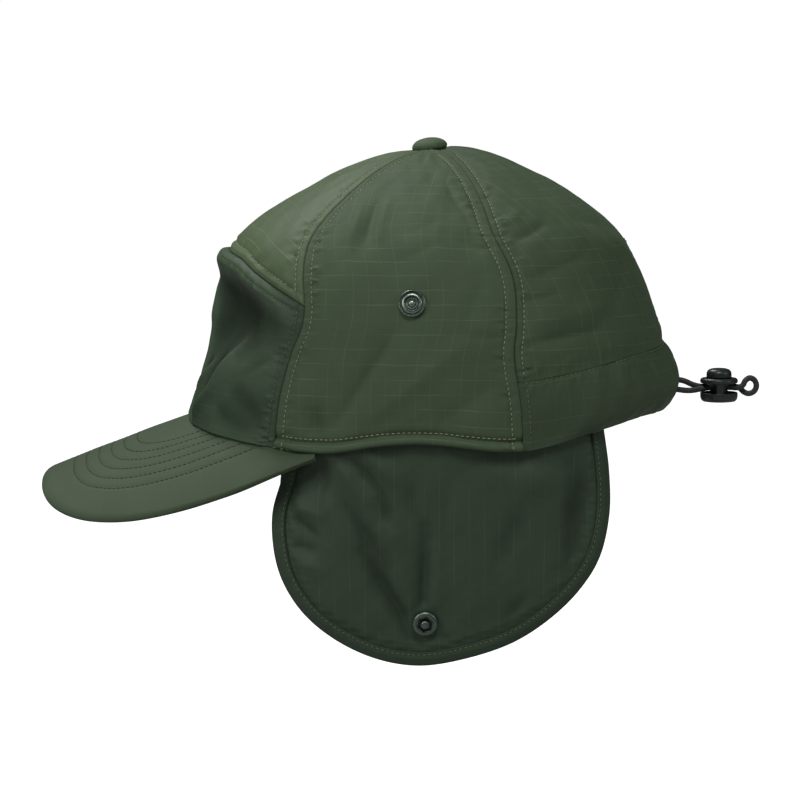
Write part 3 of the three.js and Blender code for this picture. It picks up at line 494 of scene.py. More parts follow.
def new_piece(name, points, faces, cloth=None, lining_from=None, painted_hollow_shade=None):
    """A mesh piece from points in millimetres. Faces from lining_from on get the second material."""
    mesh = bpy.data.meshes.new(name)
    mesh.from_pydata((np.asarray(points) * MM).tolist(), [], [list(f) for f in faces])
    # Painted shade of sunk places, kept for each point so that the cloth material can darken its colour
    # there.
    if painted_hollow_shade is not None:
        depth = mesh.attributes.new("painted_hollow_shade", "FLOAT", "POINT")
        depth.data.foreach_set("value", np.asarray(painted_hollow_shade).astype(np.float32))
    if cloth is not None:
        layer = mesh.uv_layers.new(name="cloth")
        corners = np.empty(len(mesh.loops), dtype=np.int64)
        mesh.loops.foreach_get("vertex_index", corners)
        layer.data.foreach_set("uv", np.asarray(cloth)[corners].astype(np.float32).ravel())
    mesh.polygons.foreach_set("use_smooth", np.ones(len(mesh.polygons), dtype=bool))
    if lining_from is not None:
        index = (np.arange(len(mesh.polygons)) >= lining_from).astype(np.int32)
        mesh.polygons.foreach_set("material_index", index)
    mesh.update()
    piece = bpy.data.objects.new(name, mesh)
    scene.collection.objects.link(piece)
    return piece


def sheet_faces(rows, wide):
    """Faces of a closed sheet whose points are the outer grid followed by the inner grid."""
    layer = rows * wide
    j, i = np.meshgrid(np.arange(rows - 1), np.arange(wide - 1), indexing="ij")
    a = (j * wide + i).ravel()
    outer = np.stack([a, a + 1, a + wide + 1, a + wide], axis=1)
    inner = outer[:, ::-1] + layer
    i = np.arange(wide - 1)
    top = (rows - 1) * wide + i
    low_edge = np.stack([i + 1, i, layer + i, layer + i + 1], axis=1)
    top_edge = np.stack([top, top + 1, layer + top + 1, layer + top], axis=1)
    left = np.arange(rows - 1) * wide
    right = left + wide - 1
    left_edge = np.stack([left, left + wide, layer + left + wide, layer + left], axis=1)
    right_edge = np.stack([right + wide, right, layer + right, layer + right + wide], axis=1)
    edges = np.concatenate([low_edge, top_edge, left_edge, right_edge])
    return np.concatenate([outer, edges, inner]), len(outer) + len(edges)


def pick(piece):
    """Makes this the only selected object, and the active one."""
    bpy.ops.object.select_all(action="DESELECT")
    piece.select_set(True)
    bpy.context.view_layer.objects.active = piece


def soften(piece, degrees=50):
    """Smooth shading, with a crisp line where faces meet at more than this angle."""
    pick(piece)
    bpy.ops.object.shade_smooth_by_angle(angle=math.radians(degrees))
    return piece


def two_layers(name, outer, inner, face_maker, cloth, flip=False, painted_hollow_shade=None):
    """A piece from an outer and an inner grid, for the left side or mirrored to the right."""
    faces, lining_from = face_maker(*outer.shape[:2])
    points = np.concatenate([outer.reshape(-1, 3), inner.reshape(-1, 3)])
    if flip:
        points = points * TO_OTHER_SIDE
        faces = faces[:, ::-1]
    marks = np.concatenate([cloth.reshape(-1, 2)] * 2)
    # The inner layer gets no painted shade.
    if painted_hollow_shade is not None:
        painted_hollow_shade = np.concatenate([painted_hollow_shade.ravel(), np.zeros(painted_hollow_shade.size)])
    return new_piece(name, points, faces, marks, lining_from, painted_hollow_shade)


THINNEST_WALL = 1.2
# Depths below the form, in mm, where the painted shade of sunk places begins and how fast it deepens.
PAINTED_SHADE_DEPTHS = (1.2, 3.0)


def crown_panel(name, panel, flip=False):
    """A padded panel: its relief outside, and a plain wall behind it."""
    angle, rise = panel_grid(panel)
    height, here = panel_relief(panel, angle, rise)
    inward = crown_normal(angle, rise)
    outer = here + inward * height[..., None]
    inward[..., 2] *= smooth(rise / RIM_SHELF_RISE)
    wall = np.maximum(panel.get("wall", CROWN_WALL), THINNEST_WALL - height)
    inner = here - unit(inward) * wall[..., None]
    # Painted shade: the deeper the relief sinks below the form, the darker the cloth's colour is painted
    # there.
    painted_hollow_shade = painted_shade_of(height, *panel.get("shade", PAINTED_SHADE_DEPTHS))
    cloth = panel_cloth(panel, angle, rise)
    return soften(two_layers(name, outer, inner, sheet_faces, cloth, flip, painted_hollow_shade))


# %% [markdown]
# ## The six crown panels and the hem tunnel
# The two front panels meet at a slanting cross seam. Each side panel ends in a small roll at the
# rim, with a stitch row above it. The back hem is a tunnel that bulges over its elastic.

# %% Panels
ROLL_HEIGHT = 3.4
ROLL_SWELL = 1.15
SEAM_HALF = 0.05 / FOLD_MM_PER_RISE


def rim_roll(angle, rise, here):
    """The roll along a side panel's rim, the dip of the stitch row above it, and its puckers."""
    low = np.linalg.norm(here - crown_point(angle, 0), axis=-1)
    roll = ROLL_SWELL * np.sqrt(np.clip(np.sin(np.pi * np.clip(low / ROLL_HEIGHT, 0, 1)), 0, 1))
    dip = -ROLL_SWELL * bump(low - ROLL_HEIGHT - 0.7, 1.5)
    pucker = 0.22 * bump(low - 7.0, 3.0) * ripple(round_the_crown(angle), low * 0.4, 1.9, 4.4)
    return roll + dip + pucker


VALLEY_DEPTH = 8.2
VALLEY_START = 5


def under_roll(angle, rise, here):
    """A roll hangs over below the cross seam, the cloth falls away under it, then swells back."""
    below = (cross_seam(angle) - rise) * FOLD_MM_PER_RISE
    away = np.abs(angle)
    roll = mix(2.9, 1.3, smooth(away / 30)) * (1 - smooth((away - 42) / 10)) * bump(below - 5.5, 4.6)
    nip = 1.5 * bump(below - 16, 5.5) - 1.2 * bump(below - 33, 8)
    depth = VALLEY_DEPTH * smooth((away - 5) / 15) * (1 - 0.62 * smooth((away - 33) / 12))
    depth = depth * (1 - 0.78 * smooth((away - 44) / 9))
    across = smooth((away - 20) / 30)
    swell_back = smooth((below - mix(32, 14, across)) / mix(34, 26, across))
    valley = depth * smooth((below - VALLEY_START) / 14) * (1 - swell_back)
    return roll - nip * (1 - smooth((away - 8) / 14)) - valley


HEM_SWELL = 2.4
HEM_SINK = 1.3
HEM_GATHERS = 14
HEM_SPREAD = 62
HEM_ROW_DROP = 0.9


def hem_bulge(angle, rise, here):
    """The tunnel swells over its elastic, tucks in at the rim and is crumpled below its row."""
    low = np.linalg.norm(here - crown_point(angle, 0), axis=-1)
    full = np.linalg.norm(crown_point(angle, channel_top(angle)) - crown_point(angle, 0), axis=-1)
    from_back = np.abs(180 - angle)
    off_seam = smooth((HEM_SPREAD - from_back) / 12)
    gather = 0.35 * np.sin(np.radians(angle * HEM_GATHERS))
    swell = off_seam * (HEM_SWELL + gather) * np.sin(np.pi * np.clip(low / full, 0, 1)) ** 0.6
    tuck = -0.7 * off_seam * (1 - smooth(low / 5))
    run = round_the_crown(angle)
    to_row = np.abs(full - low)
    row = -0.5 * bump(to_row - HEM_ROW_DROP, 0.6) * smooth((66 - from_back) / 3)
    crumple = 0.35 * bump(to_row - 4.0, 3.0) * ripple(run, low * 0.5, 1.8, 2.6)
    fold = 0.5 * off_seam * ripple(run, low * 0.5, 5.5, 6.1)
    return swell + tuck - HEM_SINK + row + crumple + fold


FRONT_LOWER = {
    "from": seam_front_far,
    "to": seam_front,
    "bottom": at_rim,
    "top": lambda angle: cross_seam(angle) - SEAM_HALF,
    "sewn": {"from": (0.1, 0.35, 3.8), "to": (0.1, 0.35, 3.8), "top": (0.3, 0.2, 4.3)},
    # Painted shade begins sooner here, to darken the valley under the roll.
    "shade": (0.6, 1.6),
    "extra": under_roll,
    "seed": 0.4,
}
FRONT_UPPER = {
    "from": seam_front_far,
    "to": seam_front,
    "bottom": lambda angle: cross_seam(angle) + SEAM_HALF,
    "top": at_apex,
    "sewn": {"from": (0.32, 0.1, 3.8), "to": (0.32, 0.1, 3.8), "bottom": (0.4, 0.0, 4.3)},
    "grain_along_cross": True,
    "seed": 1.3,
}
SIDE = {
    "from": seam_front,
    "to": seam_back,
    "bottom": at_rim,
    "top": at_apex,
    "sewn": {"from": (0.08, 0.0, 3.8), "to": (0.08, 0.0, 4.6)},
    "extra": rim_roll,
    "seed": 2.2,
}
BACK = {
    "from": seam_back,
    "to": seam_middle,
    "bottom": lambda angle: channel_top(angle) + SEAM_HALF,
    "top": at_apex,
    "sewn": {"from": (0.05, 0.45, 3.3), "to": (0.15, 0.0, 3.8), "bottom": (None, 0.0, 0.0)},
    "seed": 3.1,
}
CHANNEL = {
    "from": seam_back,
    "to": seam_back_far,
    "bottom": at_rim,
    "top": lambda angle: channel_top(angle) - SEAM_HALF,
    "sewn": {},
    "extra": hem_bulge,
    "wall": 3.2,
    "seed": 4.6,
}

soft = {
    "front_panel_lower": crown_panel("front_lower", FRONT_LOWER),
    "front_panel_upper": crown_panel("front_upper", FRONT_UPPER),
    "side_panel_left": crown_panel("side_left", SIDE),
    "side_panel_right": crown_panel("side_right", SIDE, flip=True),
    "back_panel_left": crown_panel("back_left", BACK),
    "back_panel_right": crown_panel("back_right", BACK, flip=True),
    "drawcord_channel": crown_panel("hem_tunnel", CHANNEL),
}
for node, piece in soft.items():
    print(node, len(piece.data.polygons), "faces")

# %% [markdown]
# ## The peak
# A peak is a stiff board between two layers of cloth, curved across and stitched through in rows
# that follow its edge. Its plan is a rounded outline, and its height is an arch that slopes down
# towards the front. The rows press a shallow groove into the cloth.

# %% Peak
PEAK_REACH = 120.8
PEAK_HALF_WIDTH = 78.2
PEAK_TAIL_X = -46.5
PEAK_SQUARENESS = 3.4
PEAK_TAIL_ANGLE = 64
PEAK_TAIL_STOP = 0.985
PEAK_SEAT_GAP = 0.2
PEAK_TUCK = 2.2
PEAK_ARCH_RADIUS = 105.5
PEAK_RIDGE_X = -107.6
PEAK_RIDGE_Z = 5.8
PEAK_RIDGE_SLOPE = 0.414
PEAK_THICKNESS = 3.4
PEAK_FLAT_TO = 0.93
PEAK_ROLL_SPAN = 0.0707
PEAK_ROW_INSETS = [14.0 + 5.2 * row for row in range(6)]
PEAK_ROUNDING = 8.0


def peak_edge(along):
    """The outline in plan, from one tail at -1 through the tip at 0 to the other tail at 1."""
    turn = np.radians(90 * along)
    c = np.abs(np.cos(turn))
    s = np.abs(np.sin(turn))
    stretch = (c**PEAK_SQUARENESS + s**PEAK_SQUARENESS) ** (-1 / PEAK_SQUARENESS)
    x = PEAK_TAIL_X - PEAK_REACH * stretch * c
    y = -PEAK_HALF_WIDTH * stretch * s * np.sign(along)
    return np.stack([x, y], axis=-1)


def peak_root(along):
    """The line in plan where the peak is tucked under the crown's rim."""
    rim_at = crown_point(PEAK_TAIL_ANGLE * along, 0)[..., :2]
    return rim_at * (1 - PEAK_TUCK / np.linalg.norm(rim_at, axis=-1, keepdims=True))


def peak_height(plan):
    """Height of the peak's arch over a place in plan."""
    ridge = PEAK_RIDGE_Z + (plan[..., 0] - PEAK_RIDGE_X) * PEAK_RIDGE_SLOPE
    return ridge - PEAK_ARCH_RADIUS + np.sqrt(PEAK_ARCH_RADIUS**2 - plan[..., 1] ** 2)


def peak_surface(along, out):
    """Upper surface of the peak without its stitch grooves."""
    root = peak_root(along)
    plan = mix(root, peak_edge(along), out[..., None])
    rim_z = crown_point(PEAK_TAIL_ANGLE * along, 0)[..., 2] - PEAK_SEAT_GAP
    lift = (rim_z - peak_height(root)) * (1 - out) ** 2
    tail = smooth((np.abs(along) - 0.8) / 0.2)
    height = mix(peak_height(plan) + lift, mix(rim_z, peak_height(plan), out), tail)
    return np.concatenate([plan, height[..., None]], axis=-1)


def peak_normal(along, out):
    """Direction straight up out of the peak."""
    e = 0.01
    a = np.clip(along, -PEAK_TAIL_STOP, PEAK_TAIL_STOP)
    from_root = np.maximum(0.1, out)
    across = peak_surface(a + e, from_root) - peak_surface(a - e, from_root)
    outward = peak_surface(a, np.minimum(1, out + e)) - peak_surface(a, np.maximum(0, out - e))
    n = unit(np.cross(outward, across))
    return np.where(n[..., 2:] < 0, -n, n)


def peak_inset(along, out):
    """Distance in plan from the peak's outline, rounded off where two sides are equally near."""
    plan = mix(peak_root(along), peak_edge(along), out[..., None])
    outline = peak_edge(np.linspace(-1, 1, 721))
    middles = (outline[1:] + outline[:-1]) / 2
    lengths = np.linalg.norm(np.diff(outline, axis=0), axis=-1)
    pull = np.zeros(plan.shape[:-1])
    for place, length in zip(middles, lengths):
        away = np.maximum(0.4, np.hypot(plan[..., 0] - place[0], plan[..., 1] - place[1]))
        pull += length * away ** -PEAK_ROUNDING
    return pull ** (-1 / (PEAK_ROUNDING - 1))


def peak_relief(along, out):
    """Soft unevenness, and the groove that each stitch row presses in beside the edge."""
    plan = mix(peak_root(along), peak_edge(along), out[..., None])
    height = 0.14 * ripple(plan[..., 0], plan[..., 1], 13, 2.9)
    inset = peak_inset(along, out)
    for row in PEAK_ROW_INSETS:
        height = height - 0.3 * bump(inset - row, 0.75)
    return height


def peak_point(along, out):
    """A point of the peak's finished upper side."""
    return peak_surface(along, out) + peak_normal(along, out) * peak_relief(along, out)[..., None]


def peak_piece():
    """The board in its cloth. The last seven hundredths of the way out are rolled over the edge."""
    across = PEAK_TAIL_STOP * np.sin(np.radians(np.linspace(90, -90, 241)))
    field = np.linspace(0, PEAK_FLAT_TO, 110)
    rolled = PEAK_FLAT_TO + (1 - PEAK_FLAT_TO) * np.sin(np.radians(np.linspace(0, 90, 12)))[1:]
    along, out = np.meshgrid(across, np.concatenate([field, rolled]))
    over_edge = np.maximum(0, out - PEAK_FLAT_TO) / PEAK_ROLL_SPAN
    depth = PEAK_THICKNESS * np.sqrt(np.clip(1 - over_edge**2, 0, 1))
    inset = (PEAK_THICKNESS - depth) / 2
    n = peak_normal(along, out)
    top = peak_surface(along, out)
    rows = peak_relief(along, out)
    upper = top + n * (rows - inset)[..., None]
    lower = top - n * (inset + np.maximum(0.3, depth) + rows * 0.6)[..., None]
    cloth = mix(peak_root(along), peak_edge(along), out[..., None])
    return soften(two_layers("peak_cloth", upper, lower, sheet_faces, cloth))


soft["peak"] = peak_piece()
print("peak", len(soft["peak"].data.polygons), "faces")

# %% [markdown]
# ## The earflaps
# A flap is a D of padded cloth that hangs from inside the rim. Its outline is a smooth curve through
# measured places. The mesh runs in spokes from the edge to a line down the middle, so the steps
# are even along the edge, where the binding and its stitches are.

# %% Flap outline and surface
FLAP_TOP_RISE = 7.0
FLAP_INSET = 4.2
FLAP_PADDING = 4.0
FLAP_EDGE = 2.0
BINDING_WIDTH = 6.0
BINDING_WALL = 0.9
BINDING_SLOT = 2.6
FLAP_LOW_Z = -94.0
FLAP_LOW_Y = 72.2
FLAP_LOW_BEND = 0.0011
FLAP_CURL = 2.4
FLAP_CURL_FROM = -54.0
FLAP_OUTLINE = [
    (-58.5, 6.0), (-62.2, -12.4), (-66.9, -30.0), (-65.9, -47.7), (-61.7, -59.9), (-52.9, -72.3),
    (-39.0, -83.1), (-22.6, -90.3), (-6.0, -92.8), (11.6, -90.3), (33.2, -83.1), (49.6, -72.3),
    (61.9, -59.9), (69.4, -47.7), (73.4, -30.0), (73.2, -12.4), (70.8, 6.0),
]
FLAP_SPOKES = 300
FLAP_FOLDS = [
    # from x, from z, to x, to z, half width, height
    (-32.0, -5.5, -22.0, -19.0, 2.4, -1.8),
    (-40.0, -5.0, -28.0, -22.0, 3.0, 1.5),
    (-26.0, -3.0, -16.0, -14.0, 3.0, 1.3),
    (-22.0, -19.0, -18.0, -33.0, 2.6, -1.6),
    (-36.0, -24.0, -20.0, -49.5, 3.4, -1.7),
    (-28.0, -24.0, -14.0, -48.0, 4.0, 1.2),
    (-42.0, -22.0, -34.0, -46.0, 4.5, 1.1),
    (-43.0, -8.0, -47.0, -21.0, 3.4, -1.5),
    (-58.0, -30.0, -48.0, -38.0, 2.4, -1.6),
    (-59.0, -25.0, -47.0, -29.0, 2.8, 1.2),
    (-60.0, -42.0, -49.0, -44.0, 2.4, -1.1),
    (-57.0, -49.0, -46.0, -52.0, 3.0, 0.9),
    (-29.0, -44.0, -8.5, -78.0, 3.0, -2.6),
    (-14.0, -50.0, -7.8, -70.0, 2.8, 1.3),
    (-3.2, -34.0, -4.8, -80.0, 3.0, -1.9),
    (2.0, -42.0, 0.5, -72.0, 3.0, 1.2),
    (20.0, -4.0, 54.0, -6.5, 5.0, -1.0),
    (24.0, -13.0, 50.0, -15.5, 6.0, 0.8),
    (60.0, -13.0, 57.0, -50.0, 7.5, -2.6),
    (54.0, -18.0, 50.0, -52.0, 6.0, 1.0),
    (-10.0, -14.0, -8.0, -30.0, 2.4, -0.9),
    (6.0, -18.0, 4.0, -42.0, 3.0, -0.6),
    (30.0, -74.0, 38.0, -64.0, 3.0, -0.9),
    (4.0, -80.0, 8.0, -84.0, 2.0, -0.7),
    (36.0, -26.0, 22.0, -60.0, 5.0, -0.7),
]
FLAP_FOLD_SCALE = 1.15
FLAP_FOLD_ROUNDNESS = 0.7
FLAP_SNAP_PLACE = (-3.4, -73.9)


def catmull(places, samples_each=40):
    """Smooth curve through places, as evenly spaced points."""
    p = np.array(places, dtype=float)
    p = np.concatenate([[2 * p[0] - p[1]], p, [2 * p[-1] - p[-2]]])
    run = []
    for i in range(1, len(p) - 2):
        a, b, c, d = p[i - 1], p[i], p[i + 1], p[i + 2]
        ta = np.linalg.norm(b - a) ** 0.5
        tb = np.linalg.norm(c - b) ** 0.5
        tc = np.linalg.norm(d - c) ** 0.5
        out = ((b - a) / ta - (c - a) / (ta + tb) + (c - b) / tb) * tb
        into = ((c - b) / tb - (d - b) / (tb + tc) + (d - c) / tc) * tb
        t = np.linspace(0, 1, samples_each, endpoint=i == len(p) - 3)[:, None]
        run.append(b * (2 * t**3 - 3 * t**2 + 1) + out * (t**3 - 2 * t**2 + t)
                   + c * (3 * t**2 - 2 * t**3) + into * (t**3 - t**2))
    return np.concatenate(run)


def evenly(line, count):
    """The same line with its points at even distances, and its length."""
    run = run_along(line)
    at = np.linspace(0, run[-1], count)
    return np.stack([np.interp(at, run, line[:, k]) for k in range(line.shape[1])], axis=-1), run[-1]


def flap_distance(x, z):
    """Distance of the flap's middle layer from the cap's middle plane."""
    side_y = RINGS["side_y"][0]
    square = RINGS["square"][0]
    end = np.where(x < CROWN_CENTRE_X, RINGS["front_x"][0], RINGS["back_x"][0])
    reach = np.clip((x - CROWN_CENTRE_X) / (end - CROWN_CENTRE_X), 0, 0.999)
    rim_side = side_y * (1 - reach**square) ** (1 / square)
    tuck = 5.2 * smooth((x + 34) / -28) + 1.0 * smooth((x - 50) / 22)
    top = rim_side - FLAP_INSET - FLAP_PADDING / 2 - tuck
    low = FLAP_LOW_Y - FLAP_PADDING / 2 - FLAP_LOW_BEND * x * x
    hang = mix(top, low, smooth((FLAP_TOP_RISE - z) / (FLAP_TOP_RISE - FLAP_LOW_Z)))
    return hang - FLAP_CURL * smooth((FLAP_CURL_FROM - z) / (FLAP_CURL_FROM - FLAP_LOW_Z))


def flap_point(x, z, offset):
    """A point of the left flap, an offset outwards from its middle layer."""
    e = 0.5
    slope_x = flap_distance(x - e, z) - flap_distance(x + e, z)
    slope_z = flap_distance(x, z - e) - flap_distance(x, z + e)
    along_x = np.stack([0 * x + 2 * e, slope_x, 0 * x], axis=-1)
    along_z = np.stack([0 * x, slope_z, 0 * x + 2 * e], axis=-1)
    place = np.stack([x, -flap_distance(x, z), z], axis=-1)
    return place + unit(np.cross(along_x, along_z)) * np.asarray(offset)[..., None]


outline, flap_edge_length = evenly(catmull(FLAP_OUTLINE), FLAP_SPOKES + 1)
tangent = unit(np.gradient(outline, axis=0))
edge_in = np.stack([-tangent[:, 1], tangent[:, 0]], axis=-1)
edge_in[0] = (1, 0)
edge_in[-1] = (-1, 0)
print("flap edge", round(float(flap_edge_length)), "mm")


def flap_relief(x, z, inset):
    """Folds and soft unevenness, a dimple round the snap, and puckers inside the binding."""
    height = laid_folds(x, z, FLAP_FOLDS, FLAP_FOLD_SCALE, FLAP_FOLD_ROUNDNESS)
    height += 0.35 * ripple(x, z, 9.0, 1.1) + 0.1 * ripple(z, x, 3.7, 2.3)
    from_snap = np.hypot(x - FLAP_SNAP_PLACE[0], z - FLAP_SNAP_PLACE[1])
    height = height * smooth((from_snap - 4.5) / 5) - 0.8 * bump(from_snap, 8)
    edge_pucker = 0.35 * bump(inset - BINDING_WIDTH - 2.4, 2.0) * ripple(x + z, x - z, 2.4, 3.3)
    return height * smooth((inset - BINDING_WIDTH) / 6) + edge_pucker


FLAP_EDGE_STEPS = np.array([1.3, 3.0, 4.6, 5.6, 6.2, 6.7, 7.3, 8.0, 9.0])
FLAP_INNER_STEPS = 56
FLAP_SPINE_END = np.array([-2.0, -58.0])
# Depths where the painted shade in the flap's fold valleys begins, and how fast it deepens.
FLAP_PAINTED_SHADE_DEPTHS = (0.3, 2.5)


def weld_spine(piece):
    """Merges the two halves of the mesh along the flap's middle line."""
    work = bmesh.new()
    work.from_mesh(piece.data)
    bmesh.ops.remove_doubles(work, verts=work.verts, dist=2e-6)
    bmesh.ops.dissolve_degenerate(work, edges=work.edges, dist=1e-7)
    work.to_mesh(piece.data)
    work.free()
    return piece


def flap_faces(spokes, rings):
    """Closed pad: outer and inner faces, the rim wall, and the two short ends at the top."""
    layer = spokes * rings
    j, i = np.meshgrid(np.arange(spokes - 1), np.arange(rings - 1), indexing="ij")
    a = (j * rings + i).ravel()
    outer = np.stack([a, a + rings, a + rings + 1, a + 1], axis=1)
    inner = outer[:, ::-1] + layer
    j = np.arange(spokes - 1) * rings
    wall = np.stack([j + rings, j, layer + j, layer + j + rings], axis=1)
    i = np.arange(rings - 1)
    last = (spokes - 1) * rings
    near_end = np.stack([i, i + 1, layer + i + 1, layer + i], axis=1)
    far_end = np.stack([last + i + 1, last + i, layer + last + i, layer + last + i + 1], axis=1)
    edges = np.concatenate([wall, near_end, far_end])
    return np.concatenate([outer, edges, inner]), len(outer) + len(edges)


def flap(name, flip):
    """Rings in from the edge, then steps in to the spine, a line down the flap's middle."""
    spoke = np.arange(FLAP_SPOKES + 1)
    near = np.minimum(spoke, FLAP_SPOKES - spoke) / (FLAP_SPOKES // 2)
    start = (outline[0] + outline[-1]) / 2
    spine = start + (FLAP_SPINE_END - start) * near[:, None]
    rings = [outline + edge_in * step for step in FLAP_EDGE_STEPS]
    root = rings[-1]
    for part in np.linspace(0, 1, FLAP_INNER_STEPS + 1)[1:]:
        rings.append(mix(root, spine, part))
    plan = np.stack(rings, axis=1)
    inset = np.linalg.norm(plan[:, :, None, :] - outline[None, None, ::6, :], axis=-1).min(axis=2)
    inset[:, :len(FLAP_EDGE_STEPS)] = FLAP_EDGE_STEPS
    x = plan[..., 0]
    z = plan[..., 1]
    thick = mix(FLAP_EDGE, FLAP_PADDING, smooth((inset - BINDING_WIDTH + 0.3) / 4.5)) / 2
    thick = thick + 0.5 * smooth((inset - 8) / 16)
    relief = flap_relief(x, z, inset)
    outer = flap_point(x, z, thick + relief)
    inner = flap_point(x, z, -thick + 0.4 * flap_relief(x + 9, z - 5, inset))
    cloth = np.stack([z, x], axis=-1)
    # Painted shade in the valleys of the flap's folds.
    painted_hollow_shade = painted_shade_of(relief, *FLAP_PAINTED_SHADE_DEPTHS)
    return soften(weld_spine(two_layers(name, outer, inner, flap_faces, cloth, flip, painted_hollow_shade)))


soft["earflap_left"] = flap("flap_left", False)
soft["earflap_right"] = flap("flap_right", True)
print("flap", len(soft["earflap_left"].data.polygons), "faces")

# %% [markdown]
# ## The binding
# A strip of cloth is folded over the flap's edge and stitched through. Its section is a narrow hook
# shape, carried along the edge, so the fold is round and the two turned edges lie flat.

# %% Binding round each flap
BINDING_ROW_IN = BINDING_WIDTH - 1.0
BINDING_ROW_SINK = 0.28


def binding_wobble(spoke):
    """Small unevenness of the strip's height along the flap's edge."""
    along = spoke * float(flap_edge_length) / FLAP_SPOKES
    return 0.16 * ripple(along, along * 0.2, 2.6, 0.9)


def by_spoke(values, spoke):
    """Values that are known at whole spokes, read anywhere between them."""
    known = np.arange(FLAP_SPOKES + 1)
    return np.stack([np.interp(spoke, known, values[:, k]) for k in (0, 1)], axis=-1)


def binding_point(spoke, into, offset):
    """Place on the folded binding: along the edge by spoke, in from it, and out from the middle."""
    plan = by_spoke(outline, spoke) + by_spoke(edge_in, spoke) * np.asarray(into)[..., None]
    return flap_point(plan[..., 0], plan[..., 1], offset)


def tube_faces(rings, sides):
    """Faces of a tube of rings, with a face across each end."""
    j, i = np.meshgrid(np.arange(rings - 1), np.arange(sides), indexing="ij")
    a = (j * sides + i).ravel()
    b = (j * sides + (i + 1) % sides).ravel()
    faces = [tuple(f) for f in np.stack([a, b, b + sides, a + sides], axis=1)]
    last = (rings - 1) * sides
    faces.append(tuple(range(sides - 1, -1, -1)))
    faces.append(tuple(last + k for k in range(sides)))
    return faces


def binding(name, flip):
    """The strip's section, as (in from the edge, out from the middle), carried along the edge."""
    slot = BINDING_SLOT / 2
    wall = slot + BINDING_WALL
    face = [
        (BINDING_WIDTH, slot), (BINDING_WIDTH, wall - 0.35), (BINDING_WIDTH - 0.3, wall - 0.05),
        (BINDING_ROW_IN, wall - BINDING_ROW_SINK), (BINDING_WIDTH - 1.8, wall), (3.4, wall + 0.05),
        (2.5, wall - 0.2),
    ]
    turn = np.radians(np.linspace(90, 270, 9))
    fold = [(wall * 0.75 + wall * 0.75 * math.cos(t), (wall - 0.5) * math.sin(t)) for t in turn]
    other_face = [(into, -out) for into, out in reversed(face)]
    section = np.array(face + fold + other_face + [(BINDING_WALL, -slot), (BINDING_WALL, slot)])
    sides = len(section)
    spoke, side = np.meshgrid(np.arange(FLAP_SPOKES + 1, dtype=float), np.arange(sides), indexing="ij")
    offset = section[side, 1]
    proud = np.abs(offset) > slot + 0.1
    offset = offset + np.where(proud, np.sign(offset) * binding_wobble(spoke), 0)
    points = binding_point(spoke, section[side, 0], offset).reshape(-1, 3)
    faces = tube_faces(FLAP_SPOKES + 1, sides)
    along = spoke * float(flap_edge_length) / FLAP_SPOKES
    marks = np.stack([along, run_along(section)[side]], axis=-1).reshape(-1, 2)
    if flip:
        points = points * TO_OTHER_SIDE
        faces = [f[::-1] for f in faces]
    return soften(new_piece(name, points, faces, marks))


soft["flap_binding_left"] = binding("binding_left", False)
soft["flap_binding_right"] = binding("binding_right", True)
print("binding", len(soft["flap_binding_left"].data.polygons), "faces")

# %% [markdown]
# ## The button on top
# The button is a small metal dome pressed over a round of the same cloth. It is modelled as by hand:
# a disc is extruded and resized ring by ring, and the cloth's small pleats are raised afterwards.

# %% A helper for turned shapes


def turned(name, profile, sides=48):
    """A closed turned shape, made by extruding a disc through a profile of (radius, height) in mm."""
    bpy.ops.object.select_all(action="DESELECT")
    radius, height = profile[0]
    bpy.ops.mesh.primitive_circle_add(
        vertices=sides, radius=radius * MM, fill_type="NGON", location=(0, 0, height * MM)
    )
    piece = bpy.context.object
    piece.name = name
    bpy.ops.object.transform_apply(location=True, rotation=False, scale=False)
    bpy.ops.object.mode_set(mode="EDIT")
    bpy.ops.mesh.select_all(action="SELECT")
    bpy.ops.mesh.flip_normals()
    for next_radius, next_height in profile[1:]:
        bpy.ops.mesh.extrude_region_move(
            TRANSFORM_OT_translate={"value": (0, 0, (next_height - height) * MM)}
        )
        ratio = next_radius / radius
        bpy.ops.transform.resize(value=(ratio, ratio, 1), center_override=(0, 0, next_height * MM))
        radius, height = next_radius, next_height
    bpy.ops.mesh.select_all(action="SELECT")
    bpy.ops.mesh.normals_make_consistent(inside=False)
    bpy.ops.object.mode_set(mode="OBJECT")
    return piece


def placed(piece, place, direction):
    """Turns a piece made along +Z to a direction, moves it there, and applies both to its mesh."""
    turn = Vector((0, 0, 1)).rotation_difference(Vector(direction)).to_matrix().to_4x4()
    piece.data.transform(Matrix.Translation(Vector(place) * MM) @ turn)
    piece.data.update()
    return piece


def boolean(piece, other, operation):
    """Joins or cuts with another piece, and removes that other piece."""
    pick(piece)
    change = piece.modifiers.new("change", "BOOLEAN")
    change.object = other
    change.operation = operation
    change.solver = "EXACT"
    bpy.ops.object.modifier_apply(modifier=change.name)
    bpy.data.objects.remove(other)
    return piece


def mirror_copy(piece, name):
    """The same piece on the right side, with its own mesh."""
    twin = bpy.data.objects.new(name, piece.data.copy())
    scene.collection.objects.link(twin)
    twin.data.transform(Matrix.Scale(-1, 4, (0, 1, 0)))
    twin.data.flip_normals()
    return twin


